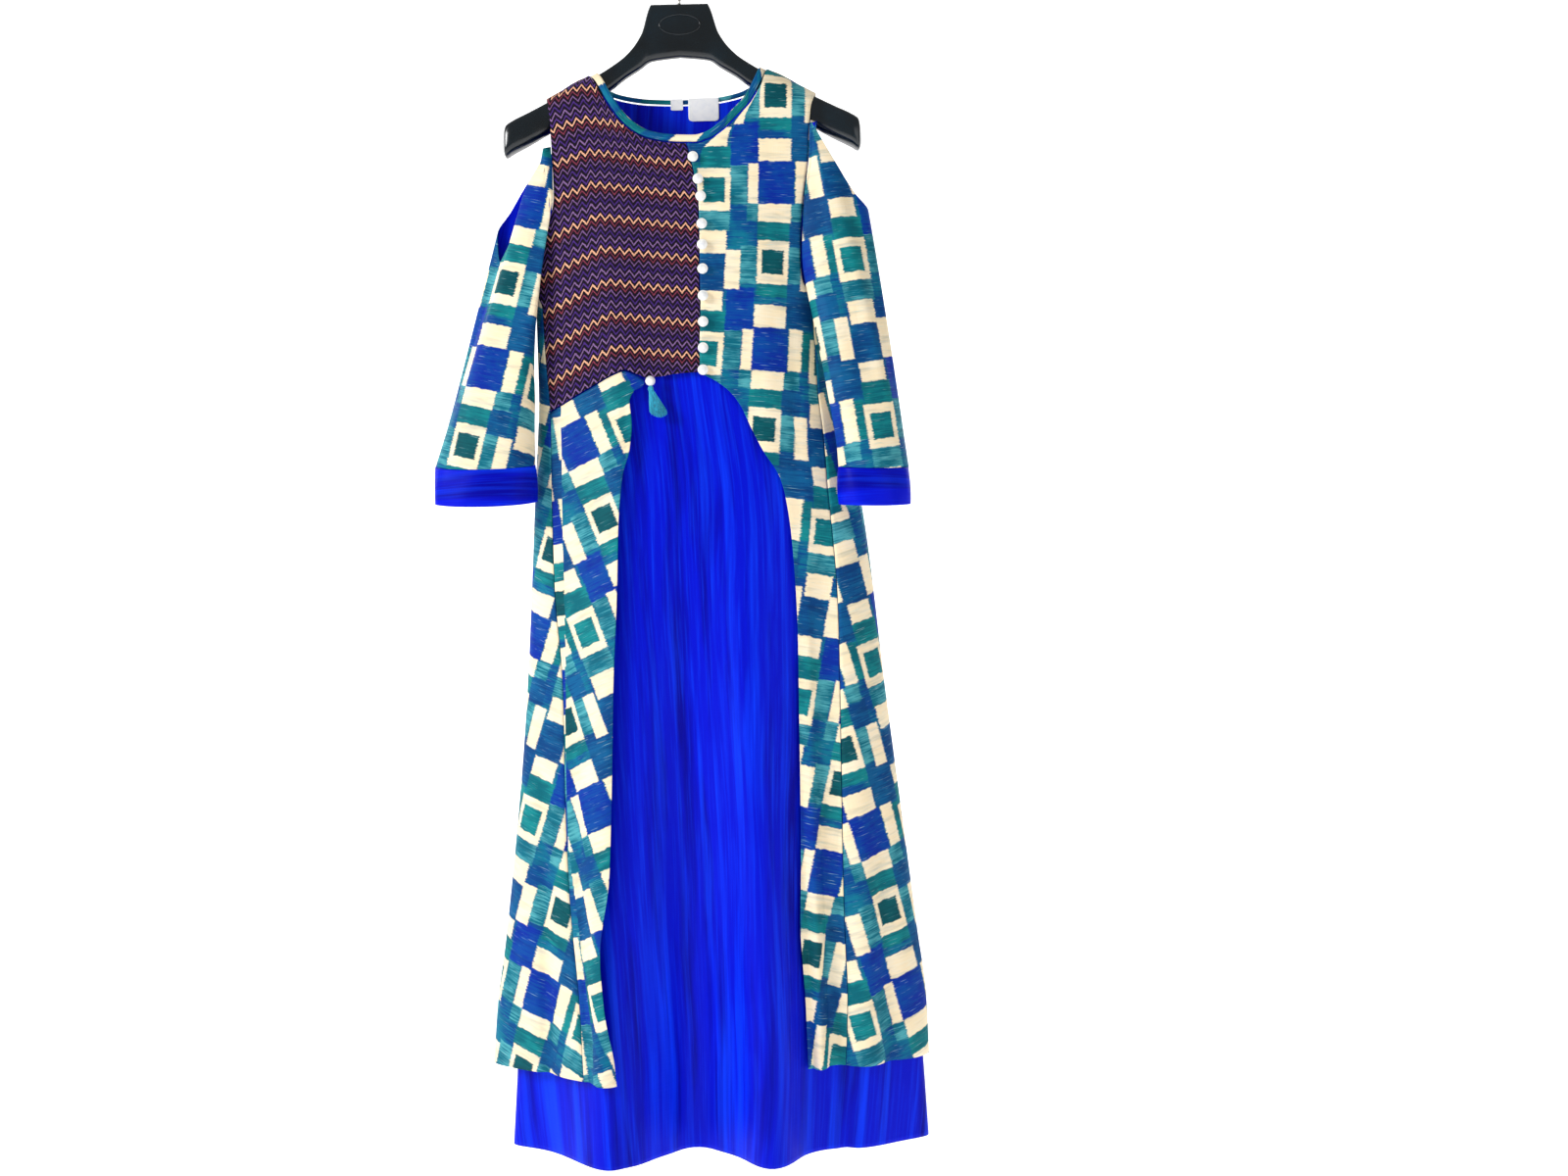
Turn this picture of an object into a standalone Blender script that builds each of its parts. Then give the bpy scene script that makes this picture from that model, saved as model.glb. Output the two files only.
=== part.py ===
"""Long layered dress on a suit hanger, in metres, +Z up.

The dress is sewn from panels: a long inner dress, and a printed outer layer that is cut away at
the front. Each panel is a grid placed on the dress's sections and given a wall of cloth.
The origin is the underside of the hook's crown, where the hanger hangs. The front faces -Y and
+X is the viewer's right. Tables are in millimetres, and drop is the distance below the origin.
"""

import math
from collections import namedtuple

import bmesh
import bpy
import numpy as np

MM = 0.001
WALL = 1.2
SEAM = 0.35
PLACKET_SEAM = 0.6
HEM_SEAM = 2.4
NECK_SEAM = 2.4
CLOSED_EDGE = 1.3
LAYER_GAP = 3.0
ARMHOLE_LAP = 2.0
SLEEVE_CLEARANCE = 6.5
SKIRT_TOP = 560.0
SKIRT_EXTRA_GAP = 2.6
LAYER_BLEND = 2.0
SHOULDER_END = 300.0
ON_SHOULDER = 1.5
SECTION_POWER = 2.5
WIDEST = 0.999999

NECK_HALF = 100.0
NECK_DROP = 134.5
SHOULDER_SLOPE = 0.515
SHOULDER_ROUND = 30.0
OUTER_HEM = 1330.0
INNER_HEM = 1430.0

BINDING_WALL = 3.0
BINDING_SHOULDER = 9.0
NECK_END_SHARE = 0.95
NECK_CORNER = 16.0
KNOT_ROOM = 2.0
UNDERARM_INSET = 5.0
ARMHOLE_END = 398.0
UNDERARM = 432.0
FAR_SIDE = 400.0
CUFF_LENGTH = 44.0
CUFF_FLARE = 1.02
BUTTON_WIDTH = 12.6
BUTTON_DEPTH = 6.4
BUTTON_OFFSET = 3.5
LOW_BUTTON_SINK = 0.7
BEAD_WIDTH = 12.0
BEAD_SEAT = 1.5
LABEL_WALL = 0.8

COLLECTION = "layered_dress_on_hanger"
ARMHOLE_STEPS = 9
SHOULDER_ROWS = ((4, 1), (9, 1), (18, 1))
BODICE_ROWS = ((206, 5), (20, 1), (123, 3))
SKIRT_ROWS = ((112, 4), (671, 9))
SKIRT_COLUMNS = ((60, 3), (60, 4))
UNDER_FRONT_ROWS = ((230, 5), (400, 4), (560, 6))
UNDER_BACK_ROWS = ((230, 5), (400, 4), (560, 5))
SLEEVE_ROWS = ((20, 2), (180, 7))
BINDING_FRONT_STEPS = 26
BINDING_BACK_STEPS = 16

Section = namedtuple("Section", "drop left right front back")
Fold = namedtuple("Fold", "x_top x_hem drop_top drop_hem width_top width_hem rise")
Knot = namedtuple("Knot", "x drop")
Sided = namedtuple("Sided", "x drop face")
Rim = namedtuple("Rim", "x y drop")
Arm = namedtuple("Arm", "x top bottom half_depth")
Label = namedtuple("Label", "name left right top bottom")
Sleeve = namedtuple("Sleeve", "name top_front top_back rim cuff_middle cuff_half_width "
                    "cuff_half_depth cuff_turn cuff_droop swing")

FRONT, BACK = "front", "back"

INNER_SECTIONS = (
    Section(120, -196, 194, 27.0, 27.0),
    Section(230, -184, 174, 29.0, 26.5),
    Section(330, -176, 160, 33.0, 28.0),
    Section(410, -172, 153, 36.0, 29.0),
    Section(520, -171, 163, 38.0, 32.0),
    Section(650, -181, 197, 39.0, 37.0),
    Section(900, -197, 224, 36.0, 48.0),
    Section(1180, -218, 254, 32.0, 62.0),
    Section(1330, -224, 266, 30.0, 70.0),
    Section(INNER_HEM, -231, 271, 29.0, 76.0),
)
INNER_FRONT_FOLDS = (
    Fold(-70, -112, 560, INNER_HEM, 60, 62, 74),
    Fold(62, 78, 560, INNER_HEM, 50, 46, 72),
    Fold(150, 190, 700, INNER_HEM, 40, 52, 22),
    Fold(-10, -16, 640, INNER_HEM, 24, 34, -8),
)
INNER_BACK_FOLDS = (
    Fold(-90, -140, 620, INNER_HEM, 46, 60, 24),
    Fold(0, 10, 560, INNER_HEM, 46, 60, 26),
    Fold(95, 165, 620, INNER_HEM, 46, 60, 24),
)

OUTER_SECTIONS = (
    Section(120, -200, 198, 29.4, 29.4),
    Section(230, -191, 181, 32.0, 29.0),
    Section(330, -185, 168, 37.5, 31.5),
    Section(410, -181, 161, 41.0, 33.0),
    Section(520, -180, 172, 44.0, 37.0),
    Section(650, -187, 204, 46.0, 43.0),
    Section(900, -203, 231, 45.0, 55.0),
    Section(1180, -234, 262, 44.0, 70.0),
    Section(1260, -246, 271, 43.0, 76.0),
    Section(OUTER_HEM, -252, 273, 43.0, 82.0),
)
OUTER_FRONT_FOLDS = (
    Fold(-108, -77, 170, 520, 22, 26, 6),
    Fold(-84, -118, 520, OUTER_HEM, 42, 58, 72),
    Fold(-172, -142, 470, OUTER_HEM, 12, 13, -9),
    Fold(-205, -212, 620, OUTER_HEM, 26, 34, 16),
    Fold(128, 139, 560, OUTER_HEM, 18, 14, 26),
    Fold(158, 154, 480, OUTER_HEM, 10, 10, -8),
    Fold(190, 197, 560, OUTER_HEM, 24, 30, 26),
    Fold(225, 252, 800, OUTER_HEM, 18, 20, 12),
)
OUTER_BACK_FOLDS = (
    Fold(-120, -205, 520, OUTER_HEM, 34, 44, 26),
    Fold(-58, -98, 500, OUTER_HEM, 34, 46, 30),
    Fold(6, 8, 480, OUTER_HEM, 34, 46, 32),
    Fold(66, 112, 500, OUTER_HEM, 34, 46, 30),
    Fold(122, 216, 520, OUTER_HEM, 34, 44, 26),
)

NECK_EDGE_FRONT = (
    Knot(-103, 136.0), Knot(-96, 147), Knot(-85, 168), Knot(-74, 186), Knot(-57, 205),
    Knot(-38, 216), Knot(-11, 221), Knot(15, 222), Knot(27, 219), Knot(43, 209),
    Knot(60, 193), Knot(75, 177), Knot(86, 158), Knot(97, 133.0),
)
NECK_EDGE_BACK = (
    Knot(-103, 136.0), Knot(-92, 147), Knot(-66, 156), Knot(-38, 160), Knot(0, 161.5),
    Knot(38, 160), Knot(66, 155.5), Knot(88, 146), Knot(97, 133.0),
)
BINDING_FRONT_WIDTH = 8.5
BINDING_BACK_WIDTH = 5.5

SHOULDER_TIP_LEFT = -163.0
SHOULDER_TIP_RIGHT = 163.0

ARMHOLE_LEFT_FRONT = (
    Sided(-163, 167.0, FRONT), Sided(-158, 200, FRONT), Sided(-157, 231, FRONT),
    Sided(-155, 287, FRONT), Sided(-163, 327, FRONT), Sided(-172, 354, FRONT),
    Sided(-177, 371, FRONT), Sided(-178, 404, FRONT),
)
SEAM_LEFT = (
    Sided(-172, 424, FRONT), Sided(-170, 473, FRONT), Sided(-165, 547, FRONT),
    Sided(-165, 666, FRONT), Sided(-164, 759, FRONT), Sided(-157, 860, FRONT),
    Sided(-156, 1000, FRONT), Sided(-152, 1130, FRONT), Sided(-141, 1260, FRONT),
    Sided(-138, OUTER_HEM, FRONT),
)
ARMHOLE_LEFT_BACK = (
    Sided(-163, 167.0, BACK), Sided(-160, 231, BACK), Sided(-161, 290, BACK),
    Sided(-170, 345, BACK), Sided(-181, 390, BACK), Sided(-178, 404, FRONT),
)
ARMHOLE_RIGHT_FRONT = (
    Sided(163, 167.0, FRONT), Sided(155, 190, FRONT), Sided(152, 220, FRONT),
    Sided(150, 254, FRONT), Sided(143, 301, FRONT), Sided(139, 354, FRONT),
    Sided(140, 395, FRONT), Sided(152, 424, FRONT),
)
SEAM_RIGHT = (
    Sided(152, 440, FRONT), Sided(153, 475, FRONT), Sided(158, 560, FRONT),
    Sided(164, 650, FRONT), Sided(172, 766, FRONT), Sided(172, 976, FRONT),
    Sided(171, 1115, FRONT), Sided(169, OUTER_HEM, FRONT),
)
ARMHOLE_RIGHT_BACK = (
    Sided(163, 167.0, BACK), Sided(154, 231, BACK), Sided(150, 290, BACK),
    Sided(152, 345, BACK), Sided(161, 400, BACK), Sided(152, 424, FRONT),
)

PLACKET = (
    Knot(5, 232.8), Knot(14, 276), Knot(17, 297), Knot(17.5, 332), Knot(17, 414), Knot(15, 507),
)
BODICE_HEM = (
    Knot(-165, 547), Knot(-118, 522), Knot(-86, 506), Knot(-75, 502.5), Knot(-60, 508),
    Knot(-48, 512.5), Knot(-34, 511.5), Knot(-13, 508.5), Knot(15, 507),
)
OPENING_RIGHT = (
    Knot(20, 511), Knot(32, 517.5), Knot(50, 532), Knot(62, 549), Knot(76, 580), Knot(87, 602),
    Knot(106, 634), Knot(113, 661), Knot(118, 700), Knot(122, 770), Knot(122, 950),
    Knot(120, 1100), Knot(118, 1180), Knot(123, OUTER_HEM),
)
OPENING_LEFT = (
    Knot(-52, 513.5), Knot(-51, 521), Knot(-64, 529), Knot(-69, 542), Knot(-67, 563),
    Knot(-70, 597), Knot(-79, 630), Knot(-85, 690), Knot(-88, 765), Knot(-95, 890),
    Knot(-99, 1010), Knot(-103, 1095), Knot(-115, 1175), Knot(-112, 1240), Knot(-101, 1305),
    Knot(-99, OUTER_HEM),
)

SLEEVE_RIGHT = Sleeve(
    name="right", top_front=231, top_back=226,
    rim=(Rim(-180, 20, 247), Rim(-211, 15, 297), Rim(-227, 4, 328), Rim(-223, -8, 364),
         Rim(-209, -20, 343), Rim(-188, -25, 280)),
    cuff_middle=Rim(-243, -32, 611), cuff_half_width=59, cuff_half_depth=28,
    cuff_turn=0.0, cuff_droop=7.0, swing=0.0)
SLEEVE_LEFT = Sleeve(
    name="left", top_front=205, top_back=215,
    rim=(Rim(178, 12, 250), Rim(200, 6, 292), Rim(221, -6, 322), Rim(221, -22, 316),
         Rim(205, -30, 297), Rim(184, -30, 262)),
    cuff_middle=Rim(217, -52, 624), cuff_half_width=42, cuff_half_depth=27,
    cuff_turn=math.radians(12), cuff_droop=4.0, swing=-10.0)
FOOT_NEAR = 0.22
FOOT_FAR = 0.78

BUTTON_DROPS = (250, 277, 298, 331, 356, 385, 417, 448, 479, 505)
BEAD_AT = Knot(-44, 516.7)
TASSEL_LEAN = math.radians(15)
TASSEL_TILT = math.radians(6)
TASSEL_HEAD = 7.0
TASSEL_LENGTH = 30.0
STRAND_INSET = 0.12
STRAND_SPREAD_X = 1.18
STRAND_SPREAD_Y = 0.96
STRAND_STEP = 0.06
LABELS = (Label("label_small", -13.4, 1.8, 161, 175), Label("label_large", 8.2, 45.9, 160.5, 189))

HANGER_ARM = (
    Arm(0, 55, 119, 9.0), Arm(34, 55, 123, 9.0), Arm(37, 60, 124, 9.0), Arm(47, 91, 131, 9.0),
    Arm(67, 117, 143.5, 9.0), Arm(82, 128, 154.5, 9.0), Arm(100, 138.9, 166, 9.0),
    Arm(130, 154.2, 186, 9.0), Arm(160, 169.6, 207, 9.5), Arm(185, 182.8, 221, 13.0),
    Arm(205, 192.8, 231, 14.5), Arm(214, 199, 236, 12.0), Arm(217.5, 209, 232, 6.0),
)
HANGER_SIDES = 12
HOOK_WIRE = 4.0
HOOK_STEPS = 14
HOOK_STEM = ((0.0, 0.0), (0.0, 3.0), (0.8, 6.0))
HOOK_BEND = 3.5
HOOK_RADIUS = 21.0
HOOK_END_ANGLE = math.radians(205)
HOOK_START_ANGLE = math.radians(-55)

PRINT_COLOUR = (0.12, 0.42, 0.47)
CHEVRON_COLOUR = (0.12, 0.04, 0.10)
SILK_COLOUR = (0.0, 0.01, 0.60)
PEARL_COLOUR = (0.85, 0.83, 0.78)
LABEL_COLOUR = (0.86, 0.86, 0.86)
TASSEL_COLOUR = (0.01, 0.33, 0.40)
HANGER_COLOUR = (0.004, 0.008, 0.012)
HOOK_COLOUR = (0.25, 0.25, 0.26)


def smooth(at, knots, values):
    """Values on a curve through the knots that never overshoots them (monotone cubic)."""
    at, knots, values = (np.asarray(a, dtype=float) for a in (at, knots, values))
    steps = np.diff(knots)
    rates = np.diff(values) / steps
    slopes = np.zeros_like(values)
    same_way = rates[:-1] * rates[1:] > 0
    weights = np.stack((2 * steps[1:] + steps[:-1], steps[1:] + 2 * steps[:-1]))
    safe = np.where(same_way, rates[:-1] * rates[1:], 1.0)
    mean = weights.sum(axis=0) * safe / (weights[0] * rates[1:] + weights[1] * rates[:-1]
                                         + np.where(same_way, 0.0, 1e9))
    slopes[1:-1] = np.where(same_way, mean, 0.0)
    slopes[0], slopes[-1] = rates[0], rates[-1]
    at = np.clip(at, knots[0], knots[-1])
    place = np.clip(np.searchsorted(knots, at, side="right") - 1, 0, len(steps) - 1)
    step = steps[place]
    t = (at - knots[place]) / step
    return (values[place] * (1 + 2 * t) * (1 - t) ** 2 + slopes[place] * step * t * (1 - t) ** 2
            + values[place + 1] * t ** 2 * (3 - 2 * t) + slopes[place + 1] * step * t ** 2 * (t - 1))


def shoulder_drop(x):
    """How far below the origin the shoulder line lies at x."""
    return NECK_DROP + SHOULDER_SLOPE * (np.abs(x) - NECK_HALF)


class Layer:
    """One layer of the dress: its sections, its folds, and the layer that it lies over."""

    def __init__(self, sections, front_folds, back_folds, sink, under=None):
        self.sections = sections
        self.folds = {FRONT: front_folds, BACK: back_folds}
        self.sink = sink
        self.under = under

    def column(self, name, drop):
        """One column of the section table, read at a drop."""
        return smooth(drop, [row.drop for row in self.sections],
                      [getattr(row, name) for row in self.sections])

    def middle_and_half(self, drop):
        """The section's middle and half width at a drop."""
        left, right = self.column("left", drop), self.column("right", drop)
        return (left + right) / 2, (right - left) / 2

    def fold_height(self, x, drop, face):
        """The sum of the soft bumps, each growing from its top to the hem."""
        height = np.zeros(np.broadcast(x, drop).shape)
        for fold in self.folds[face]:
            run = np.clip((drop - fold.drop_top) / (fold.drop_hem - fold.drop_top), 0, 1)
            centre = fold.x_top + (fold.x_hem - fold.x_top) * run
            width = fold.width_top + (fold.width_hem - fold.width_top) * run
            height = height + fold.rise * run ** 1.2 * np.exp(-((x - centre) / width) ** 2)
        return height

    def depth(self, x, drop, face):
        """How far the cloth stands in front of the hanger's plane, or behind it."""
        middle, half = self.middle_and_half(drop)
        across = np.clip(np.abs(x - middle) / half, 0, 1)
        crown = (1 - across ** SECTION_POWER) ** (1 / SECTION_POWER)
        folds = self.fold_height(x, drop, face) * (1 - across ** 4)
        below = np.clip((drop - shoulder_drop(x) - self.sink) / SHOULDER_ROUND, 0, 1)
        closing = np.sqrt(1 - (1 - below) ** 2)
        depth = (self.column(face, drop) * crown + folds) * closing
        if self.under is not None:
            gap = LAYER_GAP + SKIRT_EXTRA_GAP * (drop > SKIRT_TOP)
            other = self.under.depth(x, drop, face) + gap * closing
            apart = np.sqrt((depth - other) ** 2 + (LAYER_BLEND * closing) ** 2)
            blend = (depth + other + apart) / 2
            depth = np.where(drop < SHOULDER_END, np.maximum(depth, other), blend)
        return np.maximum(depth, CLOSED_EDGE)

    def turn(self, x, drop, face):
        """The place round the section, from 0 at the left side by the front to 1."""
        middle, half = self.middle_and_half(drop)
        across = np.clip((x - middle) / half, -WIDEST, WIDEST)
        cosine = -np.sign(across) * np.abs(across) ** (SECTION_POWER / 2)
        angle = np.arccos(cosine) / (2 * math.pi)
        return angle if face == FRONT else 1 - angle

    def point(self, turn, drop, out=0.0):
        """The point at a place round the section, in millimetres, moved out from the cloth."""
        angle = 2 * math.pi * turn
        middle, half = self.middle_and_half(drop)
        cosine = np.cos(angle)
        x = middle - half * np.sign(cosine) * np.abs(cosine) ** (2 / SECTION_POWER)
        front = -self.depth(x, drop, FRONT) - out
        back = self.depth(x, drop, BACK) + out
        y = np.where(np.sin(angle) >= 0, front, back)
        return np.stack((x, y, -drop), axis=-1)


INNER = Layer(INNER_SECTIONS, INNER_FRONT_FOLDS, INNER_BACK_FOLDS, sink=LAYER_GAP)
OUTER = Layer(OUTER_SECTIONS, OUTER_FRONT_FOLDS, OUTER_BACK_FOLDS, sink=0.0, under=INNER)


def levels(*stretches):
    """Grid stations from 0 to 1, from stretches given as (length, steps)."""
    total = sum(length for length, steps in stretches)
    stations, start = [0.0], 0.0
    for length, steps in stretches:
        stations += [(start + length * (i + 1) / steps) / total for i in range(steps)]
        start += length
    return np.array(stations)


def side_edge(layer, knots, stations, shift=0.0, wrap=False):
    """A panel's side: its turn and drop at each station down it."""
    drops = np.array([knot.drop for knot in knots])
    turns = np.array([float(layer.turn(knot.x + shift, knot.drop, knot.face)) for knot in knots])
    if wrap:
        turns += np.array([1.0 if knot.face == FRONT else 0.0 for knot in knots])
    at = drops[0] + (drops[-1] - drops[0]) * stations
    return np.stack((smooth(at, drops, turns), at))


def cross_edge(layer, knots, stations, face, lower=0.0):
    """A panel's top or bottom edge: its turn and drop at each station across it."""
    xs = np.array([knot.x for knot in knots], dtype=float)
    drops = np.array([knot.drop for knot in knots], dtype=float) + lower
    run = np.concatenate(([0.0], np.cumsum(np.hypot(np.diff(xs), np.diff(drops)))))
    at = run[-1] * stations
    x, drop = smooth(at, run, xs), smooth(at, run, drops)
    return np.stack((layer.turn(x, drop, face), drop))


def fill_patch(top, bottom, left, right, across, down):
    """Turn and drop all over a panel, blended from its four edges (a Coons patch)."""
    u, v = across[None, :], down[:, None]
    rows = []
    for axis in range(2):
        ruled = (1 - v) * top[axis][None, :] + v * bottom[axis][None, :]
        sides = (1 - u) * left[axis][:, None] + u * right[axis][:, None]
        corners = ((1 - v) * ((1 - u) * top[axis][0] + u * top[axis][-1])
                   + v * ((1 - u) * bottom[axis][0] + u * bottom[axis][-1]))
        rows.append(ruled + sides - corners)
    return rows


def make_material(name, colour, roughness, metallic=0.0):
    """A plain Principled material."""
    material = bpy.data.materials.new(name)
    material.use_nodes = True
    shader = material.node_tree.nodes["Principled BSDF"]
    shader.inputs["Base Color"].default_value = (*colour, 1.0)
    shader.inputs["Roughness"].default_value = roughness
    shader.inputs["Metallic"].default_value = metallic
    return material


def add_object(name, bm, colour, roughness, metallic=0.0):
    """Put a finished bmesh into the dress's collection as a named object."""
    bmesh.ops.recalc_face_normals(bm, faces=bm.faces[:])
    mesh = bpy.data.meshes.new(name)
    bm.to_mesh(mesh)
    bm.free()
    mesh.shade_smooth()
    mesh.materials.append(make_material(name, colour, roughness, metallic))
    item = bpy.data.objects.new(name, mesh)
    bpy.data.collections[COLLECTION].objects.link(item)
    return item


def grid_bmesh(points, closed=False):
    """A grid of faces whose corners are an array of points in millimetres."""
    rows, columns = points.shape[0] - 1, points.shape[1] - 1
    bm = bmesh.new()
    bmesh.ops.create_grid(bm, x_segments=columns, y_segments=rows, size=0.5)
    for vert in bm.verts:
        column = round((vert.co.x + 0.5) * columns)
        row = round((vert.co.y + 0.5) * rows)
        vert.co = points[row, column] * MM
    if closed:
        bmesh.ops.remove_doubles(bm, verts=bm.verts[:], dist=0.00001)
    return bm


def add_cloth(name, points, colour, roughness=0.6, wall=WALL, closed=False):
    """A cloth panel or tube: a grid of points with a wall round it."""
    item = add_object(name, grid_bmesh(points, closed), colour, roughness)
    solidify = item.modifiers.new("wall", "SOLIDIFY")
    solidify.thickness = wall * MM
    solidify.offset = 0.0
    return item


def add_panel(name, layer, top, bottom, left, right, across, down, colour, roughness=0.6):
    """A cloth panel on one layer of the dress."""
    turn, drop = fill_patch(top, bottom, left, right, across, down)
    return add_cloth(name, layer.point(turn, drop), colour, roughness)


def neck_knots(edge, width):
    """The neck edge moved out into the cloth by a width, with its ends on the shoulders."""
    xs = np.array([knot.x for knot in edge], dtype=float)
    drops = np.array([knot.drop for knot in edge], dtype=float)
    along = np.stack((np.gradient(xs), np.gradient(drops)))
    along /= np.hypot(*along)
    out = np.stack((xs - along[1] * width, drops + along[0] * width))
    out[0][0], out[0][-1] = xs[0] - width * NECK_END_SHARE, xs[-1] + width * NECK_END_SHARE
    out[1][0], out[1][-1] = shoulder_drop(out[0][0]), shoulder_drop(out[0][-1])
    return [Knot(x, drop) for x, drop in zip(*out)]


def split_neck(knots, at):
    """The neck edge left of a point and right of it, both ending on that point."""
    left = [knot for knot in knots if knot.x < at.x - KNOT_ROOM]
    right = [knot for knot in knots if knot.x > at.x + KNOT_ROOM]
    return left + [at], [at] + right


def with_shoulders(layer, knots, tip_left=None, tip_right=None):
    """The neck edge with the shoulder seams at its ends."""
    ends_left = [] if tip_left is None else [Knot(tip_left, float(shoulder_drop(tip_left)))]
    ends_right = [] if tip_right is None else [Knot(tip_right, float(shoulder_drop(tip_right)))]
    rows = []
    for knot in ends_left + list(knots) + ends_right:
        shoulder = float(shoulder_drop(knot.x))
        sink = layer.sink if abs(knot.drop - shoulder) < ON_SHOULDER else 0.0
        rows.append(Knot(knot.x, max(knot.drop, shoulder) + sink))
    return rows


def seamed(knots):
    """Knots with a face of their own, on the front."""
    return [Sided(k.x, k.drop, FRONT) for k in knots]


def neck_stations(knots, shoulder_steps, neck_steps, left=True, right=True):
    """Stations across a top edge that put grid columns on the corners where neck meets shoulder."""
    lengths = [math.hypot(b.x - a.x, b.drop - a.drop) for a, b in zip(knots, knots[1:])]
    neck = lengths[1 if left else 0:-1 if right else len(lengths)]
    sides = int(left) + int(right)
    rest = sum(neck) / sides - NECK_CORNER
    stretches = []
    if left:
        stretches += [(lengths[0], shoulder_steps), (NECK_CORNER, 2), (rest, neck_steps)]
    if right:
        stretches += [(rest, neck_steps), (NECK_CORNER, 2), (lengths[-1], shoulder_steps)]
    return levels(*stretches)


def build_chevron_bodice():
    """The wearer's right front bodice, from the shoulder to the curved bodice hem."""
    down = levels(*SHOULDER_ROWS, *BODICE_ROWS)
    start = Knot(PLACKET[0].x - PLACKET_SEAM, PLACKET[0].drop)
    neck, _ = split_neck(neck_knots(NECK_EDGE_FRONT, BINDING_FRONT_WIDTH + NECK_SEAM), start)
    knots = with_shoulders(OUTER, neck, tip_left=SHOULDER_TIP_LEFT)
    across = neck_stations(knots, shoulder_steps=3, neck_steps=5, right=False)
    top = cross_edge(OUTER, knots, across, FRONT)
    hem = [Knot(k.x - PLACKET_SEAM * (k.x > 0), k.drop) for k in BODICE_HEM]
    bottom = cross_edge(OUTER, hem, across, FRONT)
    seam = [k for k in SEAM_LEFT if k.drop <= BODICE_HEM[0].drop]
    left = side_edge(OUTER, list(ARMHOLE_LEFT_FRONT) + seam, down, shift=SEAM)
    right = side_edge(OUTER, seamed(PLACKET), down, shift=-PLACKET_SEAM)
    return add_panel("bodice_chevron_right", OUTER, top, bottom, left, right, across, down,
                     CHEVRON_COLOUR, 0.8)


def build_print_front():
    """The wearer's left front, one piece from shoulder to hem, cut away below the bodice."""
    down = levels(*SHOULDER_ROWS, *BODICE_ROWS, *SKIRT_ROWS)
    start = Knot(PLACKET[0].x + PLACKET_SEAM, PLACKET[0].drop)
    _, neck = split_neck(neck_knots(NECK_EDGE_FRONT, BINDING_FRONT_WIDTH + NECK_SEAM), start)
    knots = with_shoulders(OUTER, neck, tip_right=SHOULDER_TIP_RIGHT)
    across = neck_stations(knots, shoulder_steps=3, neck_steps=5, left=False)
    top = cross_edge(OUTER, knots, across, FRONT)
    hem = [Knot(OPENING_RIGHT[-1].x + PLACKET_SEAM, OUTER_HEM), Knot(SEAM_RIGHT[-1].x - SEAM, OUTER_HEM)]
    bottom = cross_edge(OUTER, hem, across, FRONT)
    left = side_edge(OUTER, seamed(PLACKET + OPENING_RIGHT), down, shift=PLACKET_SEAM)
    right = side_edge(OUTER, ARMHOLE_RIGHT_FRONT + SEAM_RIGHT, down, shift=-SEAM)
    return add_panel("print_front_left", OUTER, top, bottom, left, right, across, down, PRINT_COLOUR)


def build_print_skirt():
    """The wearer's right front skirt, from the bodice hem down."""
    across = levels(*SKIRT_COLUMNS)
    down = levels(*SKIRT_ROWS)
    joined = [Knot(k.x, k.drop) for k in BODICE_HEM if k.x < OPENING_LEFT[0].x]
    top_knots = joined + [OPENING_LEFT[0]]
    top = cross_edge(OUTER, top_knots, across, FRONT, lower=HEM_SEAM)
    hem = [Knot(SEAM_LEFT[-1].x + SEAM, OUTER_HEM), Knot(OPENING_LEFT[-1].x, OUTER_HEM)]
    bottom = cross_edge(OUTER, hem, across, FRONT)
    seam = [Sided(k.x, k.drop + HEM_SEAM * (k.drop == BODICE_HEM[0].drop), k.face)
            for k in SEAM_LEFT if k.drop >= BODICE_HEM[0].drop]
    opening = [Knot(OPENING_LEFT[0].x, OPENING_LEFT[0].drop + HEM_SEAM), *OPENING_LEFT[1:]]
    left = side_edge(OUTER, seam, down, shift=SEAM)
    right = side_edge(OUTER, seamed(opening), down)
    return add_panel("print_skirt_right", OUTER, top, bottom, left, right, across, down, PRINT_COLOUR)


def build_print_back():
    """The printed back, from the right front seam round the back to the left one."""
    down = levels(*SHOULDER_ROWS, *BODICE_ROWS, *SKIRT_ROWS)
    neck = neck_knots(NECK_EDGE_BACK, BINDING_BACK_WIDTH + NECK_SEAM)
    knots = with_shoulders(OUTER, neck, SHOULDER_TIP_LEFT, SHOULDER_TIP_RIGHT)[::-1]
    across = neck_stations(knots, shoulder_steps=5, neck_steps=4)
    top = cross_edge(OUTER, knots, across, BACK)
    right = side_edge(OUTER, ARMHOLE_RIGHT_BACK + SEAM_RIGHT, down, shift=SEAM)
    left = side_edge(OUTER, ARMHOLE_LEFT_BACK + SEAM_LEFT, down, shift=-SEAM, wrap=True)
    ends = (right[0][-1], left[0][-1])
    bottom = np.stack((ends[0] + (ends[1] - ends[0]) * across, np.full(len(across), OUTER_HEM)))
    top[0][0], top[0][-1] = right[0][0], left[0][0]
    return add_panel("print_back", OUTER, top, bottom, right, left, across, down, PRINT_COLOUR)


def inset_edge(knots, inset):
    """Armhole knots moved towards the middle of the body, and down under the arm."""
    return [Sided(k.x - math.copysign(inset, k.x),
                  k.drop + inset / 2 * (k.drop > SHOULDER_END), k.face) for k in knots]


def build_under_front():
    """The blue front of the inner dress, from the shoulders to the lower hem."""
    down = levels(*SHOULDER_ROWS, *UNDER_FRONT_ROWS)
    neck = neck_knots(NECK_EDGE_FRONT, BINDING_FRONT_WIDTH + NECK_SEAM)
    build_under_panel("under_front", neck, FRONT, ARMHOLE_LEFT_FRONT, ARMHOLE_RIGHT_FRONT,
                      neck_steps=8, down=down)


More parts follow.
